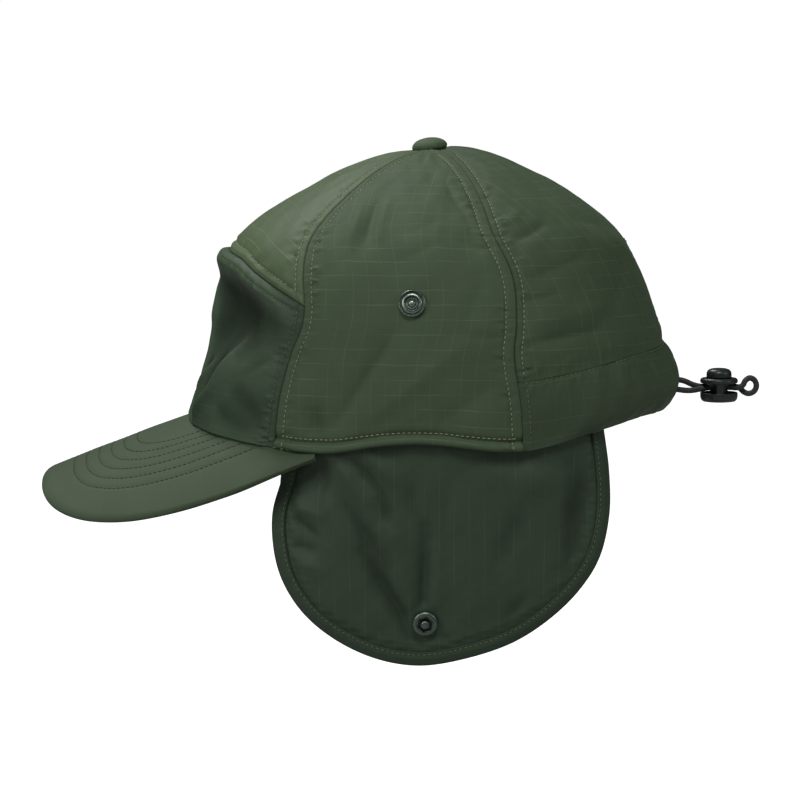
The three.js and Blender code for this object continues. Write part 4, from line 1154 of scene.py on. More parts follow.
# %% Crown button
BUTTON_SEAT = 118.9
BUTTON_TILT = 7
BUTTON_PROFILE = [
    (2.5, -4.4), (2.6, -4.2), (2.6, -0.2), (2.7, 0.02), (6.2, 0.02), (6.9, 0.25), (7.35, 0.8),
    (7.5, 1.5), (7.4, 2.2), (7.0, 2.9), (6.3, 3.6), (5.3, 4.25), (4.0, 4.8), (2.6, 5.1), (1.2, 5.25),
    (0.4, 5.3),
]
button = turned("button_cloth", BUTTON_PROFILE, 72)
for vertex in button.data.vertices:
    x, y, z = vertex.co / MM
    turn = math.atan2(y, x)
    radius = math.hypot(x, y)
    if z > 0.1:
        pleat = 0.11 * math.sin(turn * 9 + 0.6) + 0.07 * math.sin(turn * 17 + 2.0)
        grow = 1 + pleat / 7 * math.exp(-(((z - 1.2) / 1.4) ** 2))
        vertex.co = Vector((x * grow, y * grow, z + 0.05 * math.sin(turn * 5 + radius))) * MM
lean = (-math.sin(math.radians(BUTTON_TILT)), 0, math.cos(math.radians(BUTTON_TILT)))
placed(button, (CROWN_CENTRE_X, 0, BUTTON_SEAT), lean)
soften(button, 60)
soft["crown_button"] = button
print("button", len(button.data.polygons), "faces")

# %% [markdown]
# ## The snaps
# The crown has the socket halves and the flaps have the studs. Both are small turned parts, so they
# are extruded ring by ring. The stud's recess has six sides, cut with a boolean, and its faces get a
# near-black metal: painted shade in the recess.

# %% Snap halves
CROWN_SNAP_AT = (-8.9, 59.7)
CROWN_SNAP_PROFILE = [
    (4.2, -5.2), (4.6, -4.9), (4.6, -4.2), (1.9, -4.15), (1.9, 0.5), (5.3, 0.52), (5.5, 0.7),
    (5.55, 1.2), (5.48, 1.55), (5.3, 1.7), (5.12, 1.55), (5.02, 1.1), (4.9, 0.72), (4.66, 0.72),
    (4.5, 1.15), (4.25, 1.6), (3.85, 1.9), (3.45, 1.95), (3.15, 1.75), (3.0, 1.3), (2.92, 0.72),
    (2.75, 0.7), (2.62, 1.05), (2.35, 1.35), (2.1, 1.2), (1.95, 0.72), (1.7, 0.7), (1.58, 1.1),
    (1.3, 1.5), (0.8, 1.74), (0.3, 1.82),
]
FLAP_SNAP_PROFILE = [
    (4.2, -3.4), (4.6, -3.1), (4.6, -2.35), (1.9, -2.3), (1.9, 2.3), (5.2, 2.32), (5.4, 2.5),
    (5.45, 2.9), (5.35, 3.4), (5.0, 3.85), (4.5, 4.15), (4.0, 4.25), (3.6, 4.15), (3.45, 3.95),
    (0.3, 3.9),
]
STUD_PROFILE = [
    (1.7, 2.4), (1.55, 3.3), (1.5, 4.0), (1.62, 4.5), (1.75, 4.85), (1.65, 5.15), (1.35, 5.4),
    (0.8, 5.58), (0.25, 5.62),
]
RECESS_RADIUS = 3.45
RECESS_DEPTH = 3.6
RECESS_MIDDLE = 4.35
RECESS_TURN = math.radians(12)
PAINTED_RECESS_SHADE_SLOT = 1


def crown_place_at(x, z):
    """Angle and rise of the left side's surface at a given x and z."""
    angle, rise = 90.0, 0.4
    for _ in range(80):
        here = crown_point(angle, rise)
        angle += float(x - here[0]) * 0.5
        rise += float(z - here[2]) * 0.004
    return angle, rise


snap_angle, snap_rise = crown_place_at(*CROWN_SNAP_AT)
crown_snap = turned("crown_snap", CROWN_SNAP_PROFILE)
placed(crown_snap, crown_point(snap_angle, snap_rise), crown_normal(snap_angle, snap_rise))
soften(crown_snap, 30)

flap_snap = turned("flap_snap", FLAP_SNAP_PROFILE)
bpy.ops.object.select_all(action="DESELECT")
bpy.ops.mesh.primitive_cylinder_add(
    vertices=6, radius=RECESS_RADIUS * MM, depth=RECESS_DEPTH * MM, location=(0, 0, RECESS_MIDDLE * MM)
)
cutter = bpy.context.object
bpy.ops.object.mode_set(mode="EDIT")
bpy.ops.mesh.select_all(action="SELECT")
bpy.ops.transform.rotate(value=RECESS_TURN, orient_axis="Z", center_override=(0, 0, 0))
bpy.ops.object.mode_set(mode="OBJECT")
stud = turned("stud", STUD_PROFILE, 32)
boolean(flap_snap, cutter, "DIFFERENCE")
stud.select_set(True)
bpy.ops.object.join()
# Painted shade: the faces inside the recess, but not the stud, take the near-black second metal.
for face in flap_snap.data.polygons:
    away = math.hypot(face.center.x, face.center.y) / MM
    low = face.center.z / MM
    of_stud = away < 1.9 and low > 2.62
    if away < 3.4 and 2.35 < low < 3.85 and not of_stud:
        face.material_index = PAINTED_RECESS_SHADE_SLOT
snap_x, snap_z = (np.array(v) for v in FLAP_SNAP_PLACE)
flap_seat = flap_point(snap_x, snap_z, np.array(0.0))
flap_ahead = flap_point(snap_x, snap_z, np.array(1.0))
placed(flap_snap, flap_seat, flap_ahead - flap_seat)
soften(flap_snap, 30)

hard = {
    "crown_snap_left": crown_snap,
    "crown_snap_right": mirror_copy(crown_snap, "crown_snap_far"),
    "flap_snap_left": flap_snap,
    "flap_snap_right": mirror_copy(flap_snap, "flap_snap_far"),
}
print("snaps", {name: len(piece.data.polygons) for name, piece in hard.items()})

# %% [markdown]
# ## The cord lock
# The lock is a small moulded cup with a flange on two posts. A spring pushes the plunger up, so that
# its slot pinches the cord against the flange. The cup is turned, the flange is a loop spun round,
# two bevelled blocks join them, and the slotted plunger is its own piece on its own body.

# %% Lock body and plunger
LOCK_X = 123.3
LOCK_CUP = [
    (5.8, 10.8), (6.9, 10.95), (7.5, 11.4), (7.9, 12.2), (8.05, 13.2), (8.05, 14.5), (7.85, 14.75),
    (7.3, 14.7), (7.1, 14.4), (7.05, 13.2), (6.6, 12.8), (4.9, 12.9), (4.5, 13.2), (4.3, 14.05),
    (4.3, 11.9), (0.3, 11.9),
]
LOCK_FLANGE = [
    (5.8, 18.72), (7.4, 18.72), (7.85, 18.9), (8.1, 19.3), (8.1, 20.0), (7.9, 20.5), (7.4, 20.9),
    (6.8, 21.0), (6.0, 20.98), (5.75, 20.8), (5.75, 18.8),
]
PLUNGER = [
    (3.7, 14.7), (3.9, 14.9), (3.9, 21.2), (5.1, 21.22), (5.4, 21.5), (5.4, 22.6), (5.3, 23.4),
    (4.95, 24.1), (4.3, 24.65), (3.3, 25.0), (2.0, 25.17), (0.4, 25.2),
]
LOCK_POST_Y = 6.75
LOCK_POST_MIDDLE = 16.4
LOCK_POST_SIZE = (3.0, 1.7, 6.0)
LOCK_SLOT_MIDDLE = (0, 0, 18.35)
LOCK_SLOT_SIZE = (16, 5.7, 5.7)
LOCK_SIDES = 56


def ring_of(name, profile):
    """A closed ring: the profile's loop is spun round the upright axis by edit-mode operators."""
    mesh = bpy.data.meshes.new(name)
    loop = [(r * MM, 0, h * MM) for r, h in profile]
    count = len(loop)
    mesh.from_pydata(loop, [(i, (i + 1) % count) for i in range(count)], [])
    piece = bpy.data.objects.new(name, mesh)
    scene.collection.objects.link(piece)
    pick(piece)
    bpy.ops.object.mode_set(mode="EDIT")
    bpy.ops.mesh.select_all(action="SELECT")
    bpy.ops.mesh.spin(
        steps=LOCK_SIDES, angle=math.tau, center=(0, 0, 0), axis=(0, 0, 1), use_auto_merge=True
    )
    bpy.ops.mesh.select_all(action="SELECT")
    bpy.ops.mesh.remove_doubles(threshold=2e-6)
    bpy.ops.mesh.normals_make_consistent(inside=False)
    bpy.ops.object.mode_set(mode="OBJECT")
    return piece


def box_piece(name, centre, size, bevel):
    """A block with bevelled edges, in millimetres."""
    bpy.ops.object.select_all(action="DESELECT")
    bpy.ops.mesh.primitive_cube_add(size=1)
    piece = bpy.context.object
    piece.name = name
    piece.data.transform(Matrix.Diagonal((*(Vector(size) * MM), 1)))
    piece.data.transform(Matrix.Translation(Vector(centre) * MM))
    bpy.ops.object.mode_set(mode="EDIT")
    bpy.ops.mesh.select_all(action="SELECT")
    bpy.ops.mesh.bevel(offset=bevel * MM, segments=3, affect="EDGES")
    bpy.ops.object.mode_set(mode="OBJECT")
    return piece


lock_body = turned("lock_body", LOCK_CUP, LOCK_SIDES)
boolean(lock_body, ring_of("flange", LOCK_FLANGE), "UNION")
for side in (-1, 1):
    post = box_piece("post", (0, side * LOCK_POST_Y, LOCK_POST_MIDDLE), LOCK_POST_SIZE, 0.3)
    boolean(lock_body, post, "UNION")
lock_button = turned("lock_plunger", PLUNGER, LOCK_SIDES)
boolean(lock_button, box_piece("slot", LOCK_SLOT_MIDDLE, LOCK_SLOT_SIZE, 0.5), "DIFFERENCE")
for piece in (lock_body, lock_button):
    piece.data.transform(Matrix.Translation(Vector((LOCK_X, 0, 0)) * MM))
    soften(piece, 35)
hard["cord_lock_body"] = lock_body
hard["cord_lock_button"] = lock_button
print("lock", len(lock_body.data.polygons), len(lock_button.data.polygons), "faces")

# %% [markdown]
# ## The drawcord
# A thin elastic cord comes out of the hem, passes through the lock, turns in a tight loop and goes
# back into the hem. Its line repeats the solid's points. It is a tube with cloth coordinates along
# and round it, so that the braid can follow the cord.

# %% Cord
CORD_DIAMETER = 2.5
CORD_ROUTE = [
    (102.6, -2.4, 16.4), (105.6, -2.4, 16.2), (108.6, -2.2, 15.8), (111.6, -1.9, 15.8),
    (114.8, -1.6, 16.3), (118.5, -1.42, 16.95), (123.3, -1.4, 17.05), (128.2, -1.4, 17.05),
    (131.0, -1.4, 16.95), (133.3, -1.4, 17.8), (134.6, -1.2, 20.0), (136.5, -0.7, 21.0),
    (138.5, -0.1, 20.0), (139.4, 0.3, 17.6), (138.5, 0.7, 15.2), (136.2, 1.1, 14.1),
    (134.1, 1.3, 14.8), (132.7, 1.4, 16.1), (131.0, 1.4, 16.95), (128.2, 1.4, 17.05),
    (123.3, 1.4, 17.05), (118.5, 1.42, 17.05), (114.8, 1.6, 17.2), (111.6, 1.9, 18.1),
    (108.6, 2.2, 19.4), (105.6, 2.4, 20.0), (102.6, 2.4, 20.1),
]
cord_line, cord_length = evenly(catmull(CORD_ROUTE, 20), 221)


def tube(name, line, radius, sides):
    """A round tube along a line, with closed ends and cloth coordinates along and round it."""
    ahead = unit(np.gradient(line, axis=0))
    side = unit(np.cross(ahead[0], (0, 0, 1.0)))
    turn = np.linspace(0, math.tau, sides + 1)[:-1, None]
    rings = []
    for place, direction in zip(line, ahead):
        side = unit(side - direction * np.dot(side, direction))
        rings.append(place + radius * (np.cos(turn) * side + np.sin(turn) * np.cross(direction, side)))
    run = np.repeat(np.linspace(0, 1, len(line)), sides)
    marks = np.stack([run * len(line), np.tile(np.arange(sides) / sides, len(line))], axis=-1)
    return soften(new_piece(name, np.concatenate(rings), tube_faces(len(line), sides), marks), 60)


cord = tube("elastic_cord", cord_line, CORD_DIAMETER / 2, 20)
soft["drawcord"] = cord
print("cord", round(float(cord_length), 1), "mm")

# %% [markdown]
# ## Topstitching
# Thread lies on the cloth in short raised dashes that dive in at each needle hole. One stitch is a
# small pod of a few faces, repeated along a line that is taken from the finished surface, so the
# thread sits in the groove that the row presses into the padding.

# %% Stitches
STITCH_PITCH = 2.2
STITCH_LENGTH = 1.6
STITCH_WIDTH = 0.44
POD_SIDES = 6
POD_LIFT = 0.06
POD_RINGS = [(-0.42, 0.6, -0.02), (-0.2, 1.0, 0.12), (0.2, 1.0, 0.12), (0.42, 0.6, -0.02)]
POD_TIP = (0.5, -0.2)


def stitch_places(line, normals):
    """Centre, direction and normal of each stitch along a dense line of surface points."""
    run = run_along(line)
    at = np.arange(STITCH_PITCH * 0.6, run[-1] - STITCH_PITCH * 0.5, STITCH_PITCH)

    def read(values, where):
        return np.stack([np.interp(where, run, values[:, k]) for k in range(3)], axis=-1)

    centre = read(line, at)
    ahead = unit(read(line, at + 0.5) - read(line, at - 0.5))
    up = read(normals, at)
    up = unit(up - ahead * np.sum(up * ahead, axis=-1, keepdims=True))
    return centre, ahead, up


def stitch_mesh(name, rows, flip=False, length=STITCH_LENGTH, width=STITCH_WIDTH):
    """All the stitches of several rows as one piece."""
    points = []
    faces = []
    turn = np.arange(POD_SIDES) / POD_SIDES * math.tau
    tip_along, tip_lift = POD_TIP
    for line, normals in rows:
        for centre, ahead, up in zip(*stitch_places(line, normals)):
            side = np.cross(ahead, up)
            start = len(points)
            points.append(centre + ahead * length * -tip_along + up * tip_lift)
            for along, swell, lift in POD_RINGS:
                middle = centre + ahead * length * along + up * (lift + POD_LIFT)
                for t in turn:
                    points.append(
                        middle + swell * width / 2 * (math.cos(t) * side + 0.75 * math.sin(t) * up)
                    )
            points.append(centre + ahead * length * tip_along + up * tip_lift)
            end = len(points) - 1
            ring = [start + 1 + k * POD_SIDES for k in range(len(POD_RINGS))]
            for k in range(POD_SIDES):
                n = (k + 1) % POD_SIDES
                faces.append((start, ring[0] + k, ring[0] + n))
                for low, high in zip(ring[:-1], ring[1:]):
                    faces.append((low + k, high + k, high + n, low + n))
                faces.append((end, ring[-1] + n, ring[-1] + k))
    points = np.array(points)
    if flip:
        points = points * TO_OTHER_SIDE
    else:
        faces = [f[::-1] for f in faces]
    return new_piece(name, points, faces)


def crown_row(panel, angle, rise):
    """A stitch line on a panel through arrays of angle and rise."""
    return panel_surface(panel, angle, rise), crown_normal(angle, rise)


def beside_seam(panel, seam, way, low, high, offset=None):
    """A row beside an upright seam, a fixed distance from it."""
    if offset is None:
        offset = panel["sewn"]["from" if way > 0 else "to"][2]
    rise = np.linspace(low, high, 400)
    angle = seam(rise)
    per_degree = np.linalg.norm(crown_point(angle, rise) - crown_point(angle + way, rise), axis=-1)
    return crown_row(panel, angle + way * offset / per_degree, rise)


def beside_cross(panel, way, reach):
    """A row above or below the cross seam."""
    offset = panel["sewn"]["bottom" if way > 0 else "top"][2]
    angle = np.linspace(-reach, reach, 400)
    rise = cross_seam(angle)
    per_rise = np.linalg.norm(crown_point(angle, rise) - crown_point(angle, rise + 0.01), axis=-1) / 0.01
    return crown_row(panel, angle, rise + way * offset / per_rise)


ROW_FOOT = 0.004
SEAM_ROW_TOP = 0.945
CORNER_ANGLE = 54
CORNER_RISE = float(cross_seam(CORNER_ANGLE))
RIM_ROW_END = 110
HEM_ROW_ENDS = (111, 249)
RIM_ROW_RISE = 4.1 / FOLD_MM_PER_RISE * 1.28
HEM_SIDE_ROW = 3.3

rim_angle = np.linspace(CORNER_ANGLE, RIM_ROW_END, 400)
hem_angle = np.linspace(*HEM_ROW_ENDS, 700)
hem_rise = channel_top(hem_angle) - HEM_ROW_DROP / FOLD_MM_PER_RISE
rows_both_sides = {
    "stitching_side_": [
        beside_seam(SIDE, seam_front, 1, ROW_FOOT, SEAM_ROW_TOP),
        beside_seam(SIDE, seam_back, -1, ROW_FOOT, SEAM_ROW_TOP),
        crown_row(SIDE, rim_angle, np.full(rim_angle.size, RIM_ROW_RISE)),
    ],
    "stitching_back_": [
        beside_seam(BACK, seam_back, 1, 0.19, SEAM_ROW_TOP),
        beside_seam(BACK, seam_middle, -1, 0.26, SEAM_ROW_TOP),
    ],
}
rows_in_middle = {
    "stitching_front_upper": [
        beside_cross(FRONT_UPPER, 1, 51),
        beside_seam(FRONT_UPPER, seam_front, -1, CORNER_RISE + 0.03, SEAM_ROW_TOP),
        beside_seam(FRONT_UPPER, seam_front_far, 1, CORNER_RISE + 0.03, SEAM_ROW_TOP),
    ],
    "stitching_front_lower": [
        beside_cross(FRONT_LOWER, -1, 52),
        beside_seam(FRONT_LOWER, seam_front, -1, ROW_FOOT, CORNER_RISE - 0.02),
        beside_seam(FRONT_LOWER, seam_front_far, 1, ROW_FOOT, CORNER_RISE - 0.02),
    ],
    "stitching_hem": [
        crown_row(CHANNEL, hem_angle, hem_rise),
        beside_seam(CHANNEL, seam_back, 1, 0.01, 0.17, HEM_SIDE_ROW),
        beside_seam(CHANNEL, seam_back_far, -1, 0.01, 0.17, HEM_SIDE_ROW),
    ],
}
stitching = {}
for name, rows in rows_both_sides.items():
    stitching[name + "left"] = stitch_mesh(name + "left", rows)
    stitching[name + "right"] = stitch_mesh(name + "right", rows, flip=True)
for name, rows in rows_in_middle.items():
    stitching[name] = stitch_mesh(name, rows)


def peak_stitch_rows():
    """The peak's rows along its grooves: each runs until it meets the crown."""
    along = np.linspace(-0.97, 0.97, 900)
    ladder = np.linspace(0, 1, 101)
    inset = peak_inset(*np.meshgrid(along, ladder))
    rows = []
    for row in PEAK_ROW_INSETS:
        there = inset[0] > row + 0.5
        out = np.array([np.interp(-row, -inset[:, k], ladder) for k in np.flatnonzero(there)])
        rows.append((peak_point(along[there], out), peak_normal(along[there], out)))
    return rows


stitching["stitching_peak"] = stitch_mesh("stitching_peak", peak_stitch_rows(), length=1.9, width=0.46)

spoke = np.linspace(0, FLAP_SPOKES, 1500)
row_height = BINDING_SLOT / 2 + BINDING_WALL - BINDING_ROW_SINK
binding_rows = []
for face in (1, -1):
    offset = face * (row_height + binding_wobble(spoke))
    line = binding_point(spoke, BINDING_ROW_IN, offset)
    ahead = binding_point(spoke, BINDING_ROW_IN, offset + face)
    binding_rows.append((line, ahead - line))
stitching["stitching_flap_left"] = stitch_mesh("stitching_flap_left", binding_rows)
stitching["stitching_flap_right"] = stitch_mesh("stitching_flap_right", binding_rows, flip=True)
print("stitches", sum(len(piece.data.polygons) for piece in stitching.values()) // 30)

# %% [markdown]
# ## Cloth as a material
# Ripstop is a plain weave with a thicker thread every few millimetres each way. One node group makes
# the grid, the weave and slow changes of tone from the cloth coordinates, and each cloth material
# uses it with the same olive, made lighter or darker per piece as painted light and shade, and darker
# again in sunk places as painted shade. The thick threads catch the light, so they are a little paler
# and stand up a little, and they fade in and out, as they do in the photograph.

# %% Helpers for node trees


def new_surface(name):
    """A new material with its node tree and its shader node."""
    material = bpy.data.materials.new(name)
    material.use_nodes = True
    tree = material.node_tree
    return material, tree, tree.nodes["Principled BSDF"]


def link_maths(tree, operation, a, b=None, c=None):
    """A Math node whose inputs are sockets or numbers."""
    node = tree.nodes.new("ShaderNodeMath")
    node.operation = operation
    for socket, value in zip(node.inputs, (a, b, c)):
        if value is None:
            continue
        if isinstance(value, bpy.types.NodeSocket):
            tree.links.new(value, socket)
        else:
            socket.default_value = value
    return node.outputs[0]


def noise_of(tree, vector, scale, detail=2.0, rough=0.5):
    """A Noise Texture at a place."""
    node = tree.nodes.new("ShaderNodeTexNoise")
    node.inputs["Scale"].default_value = scale
    node.inputs["Detail"].default_value = detail
    node.inputs["Roughness"].default_value = rough
    tree.links.new(vector, node.inputs["Vector"])
    return node.outputs["Fac"]


def stretched(tree, vector, scale):
    """A place multiplied by a scale for each axis."""
    node = tree.nodes.new("ShaderNodeVectorMath")
    node.operation = "MULTIPLY"
    node.inputs[1].default_value = scale
    tree.links.new(vector, node.inputs[0])
    return node.outputs[0]


def ranged(tree, value, low, high, to_low=0.0, to_high=1.0):
    """A value moved smoothly from one range to another."""
    node = tree.nodes.new("ShaderNodeMapRange")
    node.interpolation_type = "SMOOTHSTEP"
    tree.links.new(value, node.inputs["Value"])
    for name, number in zip(("From Min", "From Max", "To Min", "To Max"), (low, high, to_low, to_high)):
        node.inputs[name].default_value = number
    return node.outputs["Result"]


def mixed(tree, amount, low, high):
    """A colour between two colours, by an amount from 0 to 1. The low one may be a socket."""
    node = tree.nodes.new("ShaderNodeMix")
    node.data_type = "RGBA"
    tree.links.new(amount, node.inputs[0])
    if isinstance(low, bpy.types.NodeSocket):
        tree.links.new(low, node.inputs[6])
    else:
        node.inputs[6].default_value = (*low, 1)
    node.inputs[7].default_value = (*high, 1)
    return node.outputs[2]


def raised(tree, shader, height, strength, distance):
    """Tilts the shading by a height that reaches a distance in millimetres."""
    node = tree.nodes.new("ShaderNodeBump")
    node.inputs["Strength"].default_value = strength
    node.inputs["Distance"].default_value = distance * MM
    tree.links.new(height, node.inputs["Height"])
    tree.links.new(node.outputs["Normal"], shader.inputs["Normal"])


def cloth_marks(tree):
    """The piece's cloth coordinates in millimetres."""
    node = tree.nodes.new("ShaderNodeUVMap")
    node.uv_map = "cloth"
    return node.outputs["UV"]


# %% Node group for ripstop
WEAVE_PITCH = 0.8


def ripstop_group():
    """The grid, the weave and the tone of ripstop cloth, from its cloth coordinates."""
    tree = bpy.data.node_groups.new("Ripstop Cloth", "ShaderNodeTree")
    face = tree.interface
    face.new_socket("Cloth", in_out="INPUT", socket_type="NodeSocketVector")
    for name in ("Pitch", "Upright Lines", "Level Lines"):
        face.new_socket(name, in_out="INPUT", socket_type="NodeSocketFloat")
    for name in ("Lines", "Height", "Tone"):
        face.new_socket(name, in_out="OUTPUT", socket_type="NodeSocketFloat")
    given = tree.nodes.new("NodeGroupInput")
    result = tree.nodes.new("NodeGroupOutput")
    split = tree.nodes.new("ShaderNodeSeparateXYZ")
    tree.links.new(given.outputs["Cloth"], split.inputs[0])
    waver = noise_of(tree, given.outputs["Cloth"], 0.05)
    lines = []
    ways = ((0, (0.9, 0.09, 1.0), "Upright Lines"), (1, (0.09, 0.9, 1.0), "Level Lines"))
    for axis, squash, strength in ways:
        place = link_maths(tree, "MULTIPLY_ADD", waver, 1.2, split.outputs[axis])
        turns = link_maths(tree, "DIVIDE", place, given.outputs["Pitch"])
        part = link_maths(tree, "FRACT", turns)
        off = link_maths(tree, "ABSOLUTE", link_maths(tree, "SUBTRACT", part, 0.5))
        line = ranged(tree, off, 0.0, 0.045, 1.0, 0.0)
        patch = noise_of(tree, stretched(tree, given.outputs["Cloth"], squash), 0.42, 1.0)
        faded = ranged(tree, patch, 0.4, 0.62, 0.2, 1.0)
        shown = link_maths(tree, "MULTIPLY", faded, given.outputs[strength])
        lines.append(link_maths(tree, "MULTIPLY", line, shown))
    both = link_maths(tree, "MAXIMUM", lines[0], lines[1])
    tree.links.new(both, result.inputs["Lines"])
    warp, weft = (
        link_maths(tree, "SINE", link_maths(tree, "MULTIPLY", split.outputs[k], math.tau / WEAVE_PITCH))
        for k in (0, 1)
    )
    weave = link_maths(tree, "MULTIPLY", warp, weft)
    fibre = noise_of(tree, given.outputs["Cloth"], 1.9, 3.0, 0.6)
    height = link_maths(tree, "MULTIPLY_ADD", both, 0.75, link_maths(tree, "MULTIPLY", weave, 0.1))
    height = link_maths(tree, "MULTIPLY_ADD", fibre, 0.5, height)
    tree.links.new(height, result.inputs["Height"])
    cloud = noise_of(tree, given.outputs["Cloth"], 0.035, 2.0)
    grain = link_maths(tree, "MULTIPLY_ADD", fibre, 0.35, link_maths(tree, "MULTIPLY", cloud, 0.65))
    tree.links.new(grain, result.inputs["Tone"])
    return tree


RIPSTOP = ripstop_group()
RIPSTOP_PITCH = 6.15
PAINTED_SHADE_STRENGTH = 0.75


def cloth_material(
    name, dark, light, thread, upright, level, rough=0.72, gloss=0.3, sheen=0.12, lift=0.35,
    use_object=False
):
    """Ripstop cloth: two tones of the ground colour, the paler grid, painted shade in sunk places, and a
    fine raised weave.
    """
    material, tree, shader = new_surface(name)
    if use_object:
        place = tree.nodes.new("ShaderNodeTexCoord").outputs["Object"]
        place = stretched(tree, place, (1 / MM, 1 / MM, 1 / MM))
    else:
        place = cloth_marks(tree)
    weave = tree.nodes.new("ShaderNodeGroup")
    weave.node_tree = RIPSTOP
    weave.inputs["Pitch"].default_value = RIPSTOP_PITCH
    weave.inputs["Upright Lines"].default_value = upright
    weave.inputs["Level Lines"].default_value = level
    tree.links.new(place, weave.inputs["Cloth"])
    ground = mixed(tree, ranged(tree, weave.outputs["Tone"], 0.3, 0.7), dark, light)
    grid = mixed(tree, weave.outputs["Lines"], ground, thread)
    # Painted shade: where the per-point mask marks a sunk place, the colour is mixed towards a near-black
    # olive.
    depth = tree.nodes.new("ShaderNodeAttribute")
    depth.attribute_name = "painted_hollow_shade"
    shade = link_maths(tree, "MULTIPLY", depth.outputs["Fac"], PAINTED_SHADE_STRENGTH)
    deep = mixed(tree, shade, grid, [c * 0.15 for c in dark])
    tree.links.new(deep, shader.inputs["Base Color"])
    raised(tree, shader, weave.outputs["Height"], lift, 0.25)
    shader.inputs["Roughness"].default_value = rough
    shader.inputs["Specular IOR Level"].default_value = gloss
    shader.inputs["Sheen Weight"].default_value = sheen
    shader.inputs["Sheen Roughness"].default_value = 0.5
    shader.inputs["Sheen Tint"].default_value = (*[min(1, c * 6) for c in light], 1)
    return material


OLIVE = np.array((0.0475, 0.0725, 0.0380))
# Painted tints of light: cooler for pieces in shade, warmer for the brightly lit upper front.
PAINTED_SHADE_TINT = np.array((0.93, 1.0, 1.09))
PAINTED_LIGHT_TINT = np.array((1.03, 1.0, 0.93))


def olive_cloth(name, shade, tint=1.0, **finish):
    """Every panel is cut from the same olive ripstop; its shade and tint here are painted light and shade.
    """
    ground = OLIVE * shade * tint
    return cloth_material(name, tuple(ground * 0.93), tuple(ground * 1.07), tuple(ground * 1.75), **finish)


# Painted light and shade: every cloth below but the lining is the same olive, made lighter where more light
# falls, as on the upper front and the button, and darker where it is in shade, as on the flaps, the binding
# and the hem.
side_cloth = olive_cloth("side ripstop", 1.13, upright=0.5, level=0.8)
upper_cloth = olive_cloth("front ripstop", 1.45, PAINTED_LIGHT_TINT, rough=0.6, gloss=0.32, upright=0.45, level=0.9)
lower_cloth = olive_cloth(
    "front satin", 1.08, PAINTED_SHADE_TINT, rough=0.6, gloss=0.26, sheen=0.04, lift=0.2, upright=0.2, level=0.4
)
back_cloth = olive_cloth("back ripstop", 1.02, upright=0.8, level=0.8)
hem_cloth = olive_cloth("hem ripstop", 0.92, upright=0.35, level=0.6)
peak_cloth = olive_cloth("peak ripstop", 0.98, lift=0.3, upright=0.12, level=0.12)
flap_cloth = olive_cloth("flap ripstop", 0.76, PAINTED_SHADE_TINT, rough=0.6, upright=0.12, level=0.7)
binding_cloth = olive_cloth("binding cloth", 0.66, PAINTED_SHADE_TINT, rough=0.7, upright=0.0, level=0.0)
lining_cloth = olive_cloth("lining", 0.35, lift=0.2, upright=0.1, level=0.1)
button_cloth = olive_cloth("button ripstop", 1.35, use_object=True, upright=0.15, level=0.15)

# %% Thread, metal, plastic and cord


TONE_SPREAD = 0.25
THREAD_GRAIN = {"noise_scale": 2500, "lift": 0.1}
METAL_GRAIN = {"noise_scale": 700, "lift": 0.05, "metal": 1.0}


def plain_material(name, colour, rough, noise_scale, lift, metal=0.0):
    """A hard or fine surface: slow tone changes and a fine grain from Object coordinates."""
    material, tree, shader = new_surface(name)
    place = tree.nodes.new("ShaderNodeTexCoord").outputs["Object"]
    grain = noise_of(tree, place, noise_scale, 4.0, 0.6)
    dark = [c * (1 - TONE_SPREAD) for c in colour]
    light = [c * (1 + TONE_SPREAD) for c in colour]
    tree.links.new(mixed(tree, grain, dark, light), shader.inputs["Base Color"])
    patchy = ranged(tree, grain, 0.3, 0.7, rough * 0.85, rough * 1.15)
    tree.links.new(patchy, shader.inputs["Roughness"])
    raised(tree, shader, grain, lift, 0.1)
    shader.inputs["Metallic"].default_value = metal
    return material


side_thread = plain_material("olive thread", (0.23, 0.265, 0.145), 0.6, **THREAD_GRAIN)
# Painted shade: the same thread, darker, for the rows in shade on the lower front, the hem and the flaps.
painted_shade_thread = plain_material("shaded thread", (0.10, 0.12, 0.06), 0.6, **THREAD_GRAIN)
dark_thread = plain_material("dark thread", (0.035, 0.05, 0.03), 0.65, **THREAD_GRAIN)
metal = plain_material("gunmetal", (0.22, 0.27, 0.23), 0.37, **METAL_GRAIN)
dark_metal = plain_material("dark gunmetal", (0.12, 0.155, 0.13), 0.4, **METAL_GRAIN)
# Painted shade for the inside of the flap snap's recess.
painted_recess_shade_metal = plain_material("recess gunmetal", (0.045, 0.06, 0.05), 0.5, **METAL_GRAIN)
plastic = plain_material("lock plastic", (0.017, 0.026, 0.023), 0.36, noise_scale=1200, lift=0.08)


def cord_material():
    """Braided cord: crossing strands from the tube's own coordinates."""
    material, tree, shader = new_surface("elastic cord")
    split = tree.nodes.new("ShaderNodeSeparateXYZ")
    tree.links.new(cloth_marks(tree), split.inputs[0])
    strands = []
    for way in (1, -1):
        place = link_maths(tree, "MULTIPLY_ADD", split.outputs[1], 8 * way, split.outputs[0])
        strands.append(link_maths(tree, "SINE", link_maths(tree, "MULTIPLY", place, math.tau / 4)))
    braid = link_maths(tree, "MULTIPLY", strands[0], strands[1])
    colour = mixed(tree, ranged(tree, braid, -0.6, 0.6), (0.016, 0.022, 0.018), (0.034, 0.044, 0.037))
    tree.links.new(colour, shader.inputs["Base Color"])
    raised(tree, shader, braid, 0.5, 0.15)
    shader.inputs["Roughness"].default_value = 0.62
    return material


elastic = cord_material()

# %% [markdown]
# ## Finishes and bodies
# Each piece takes its materials, stands for its node and rides on that node's body.

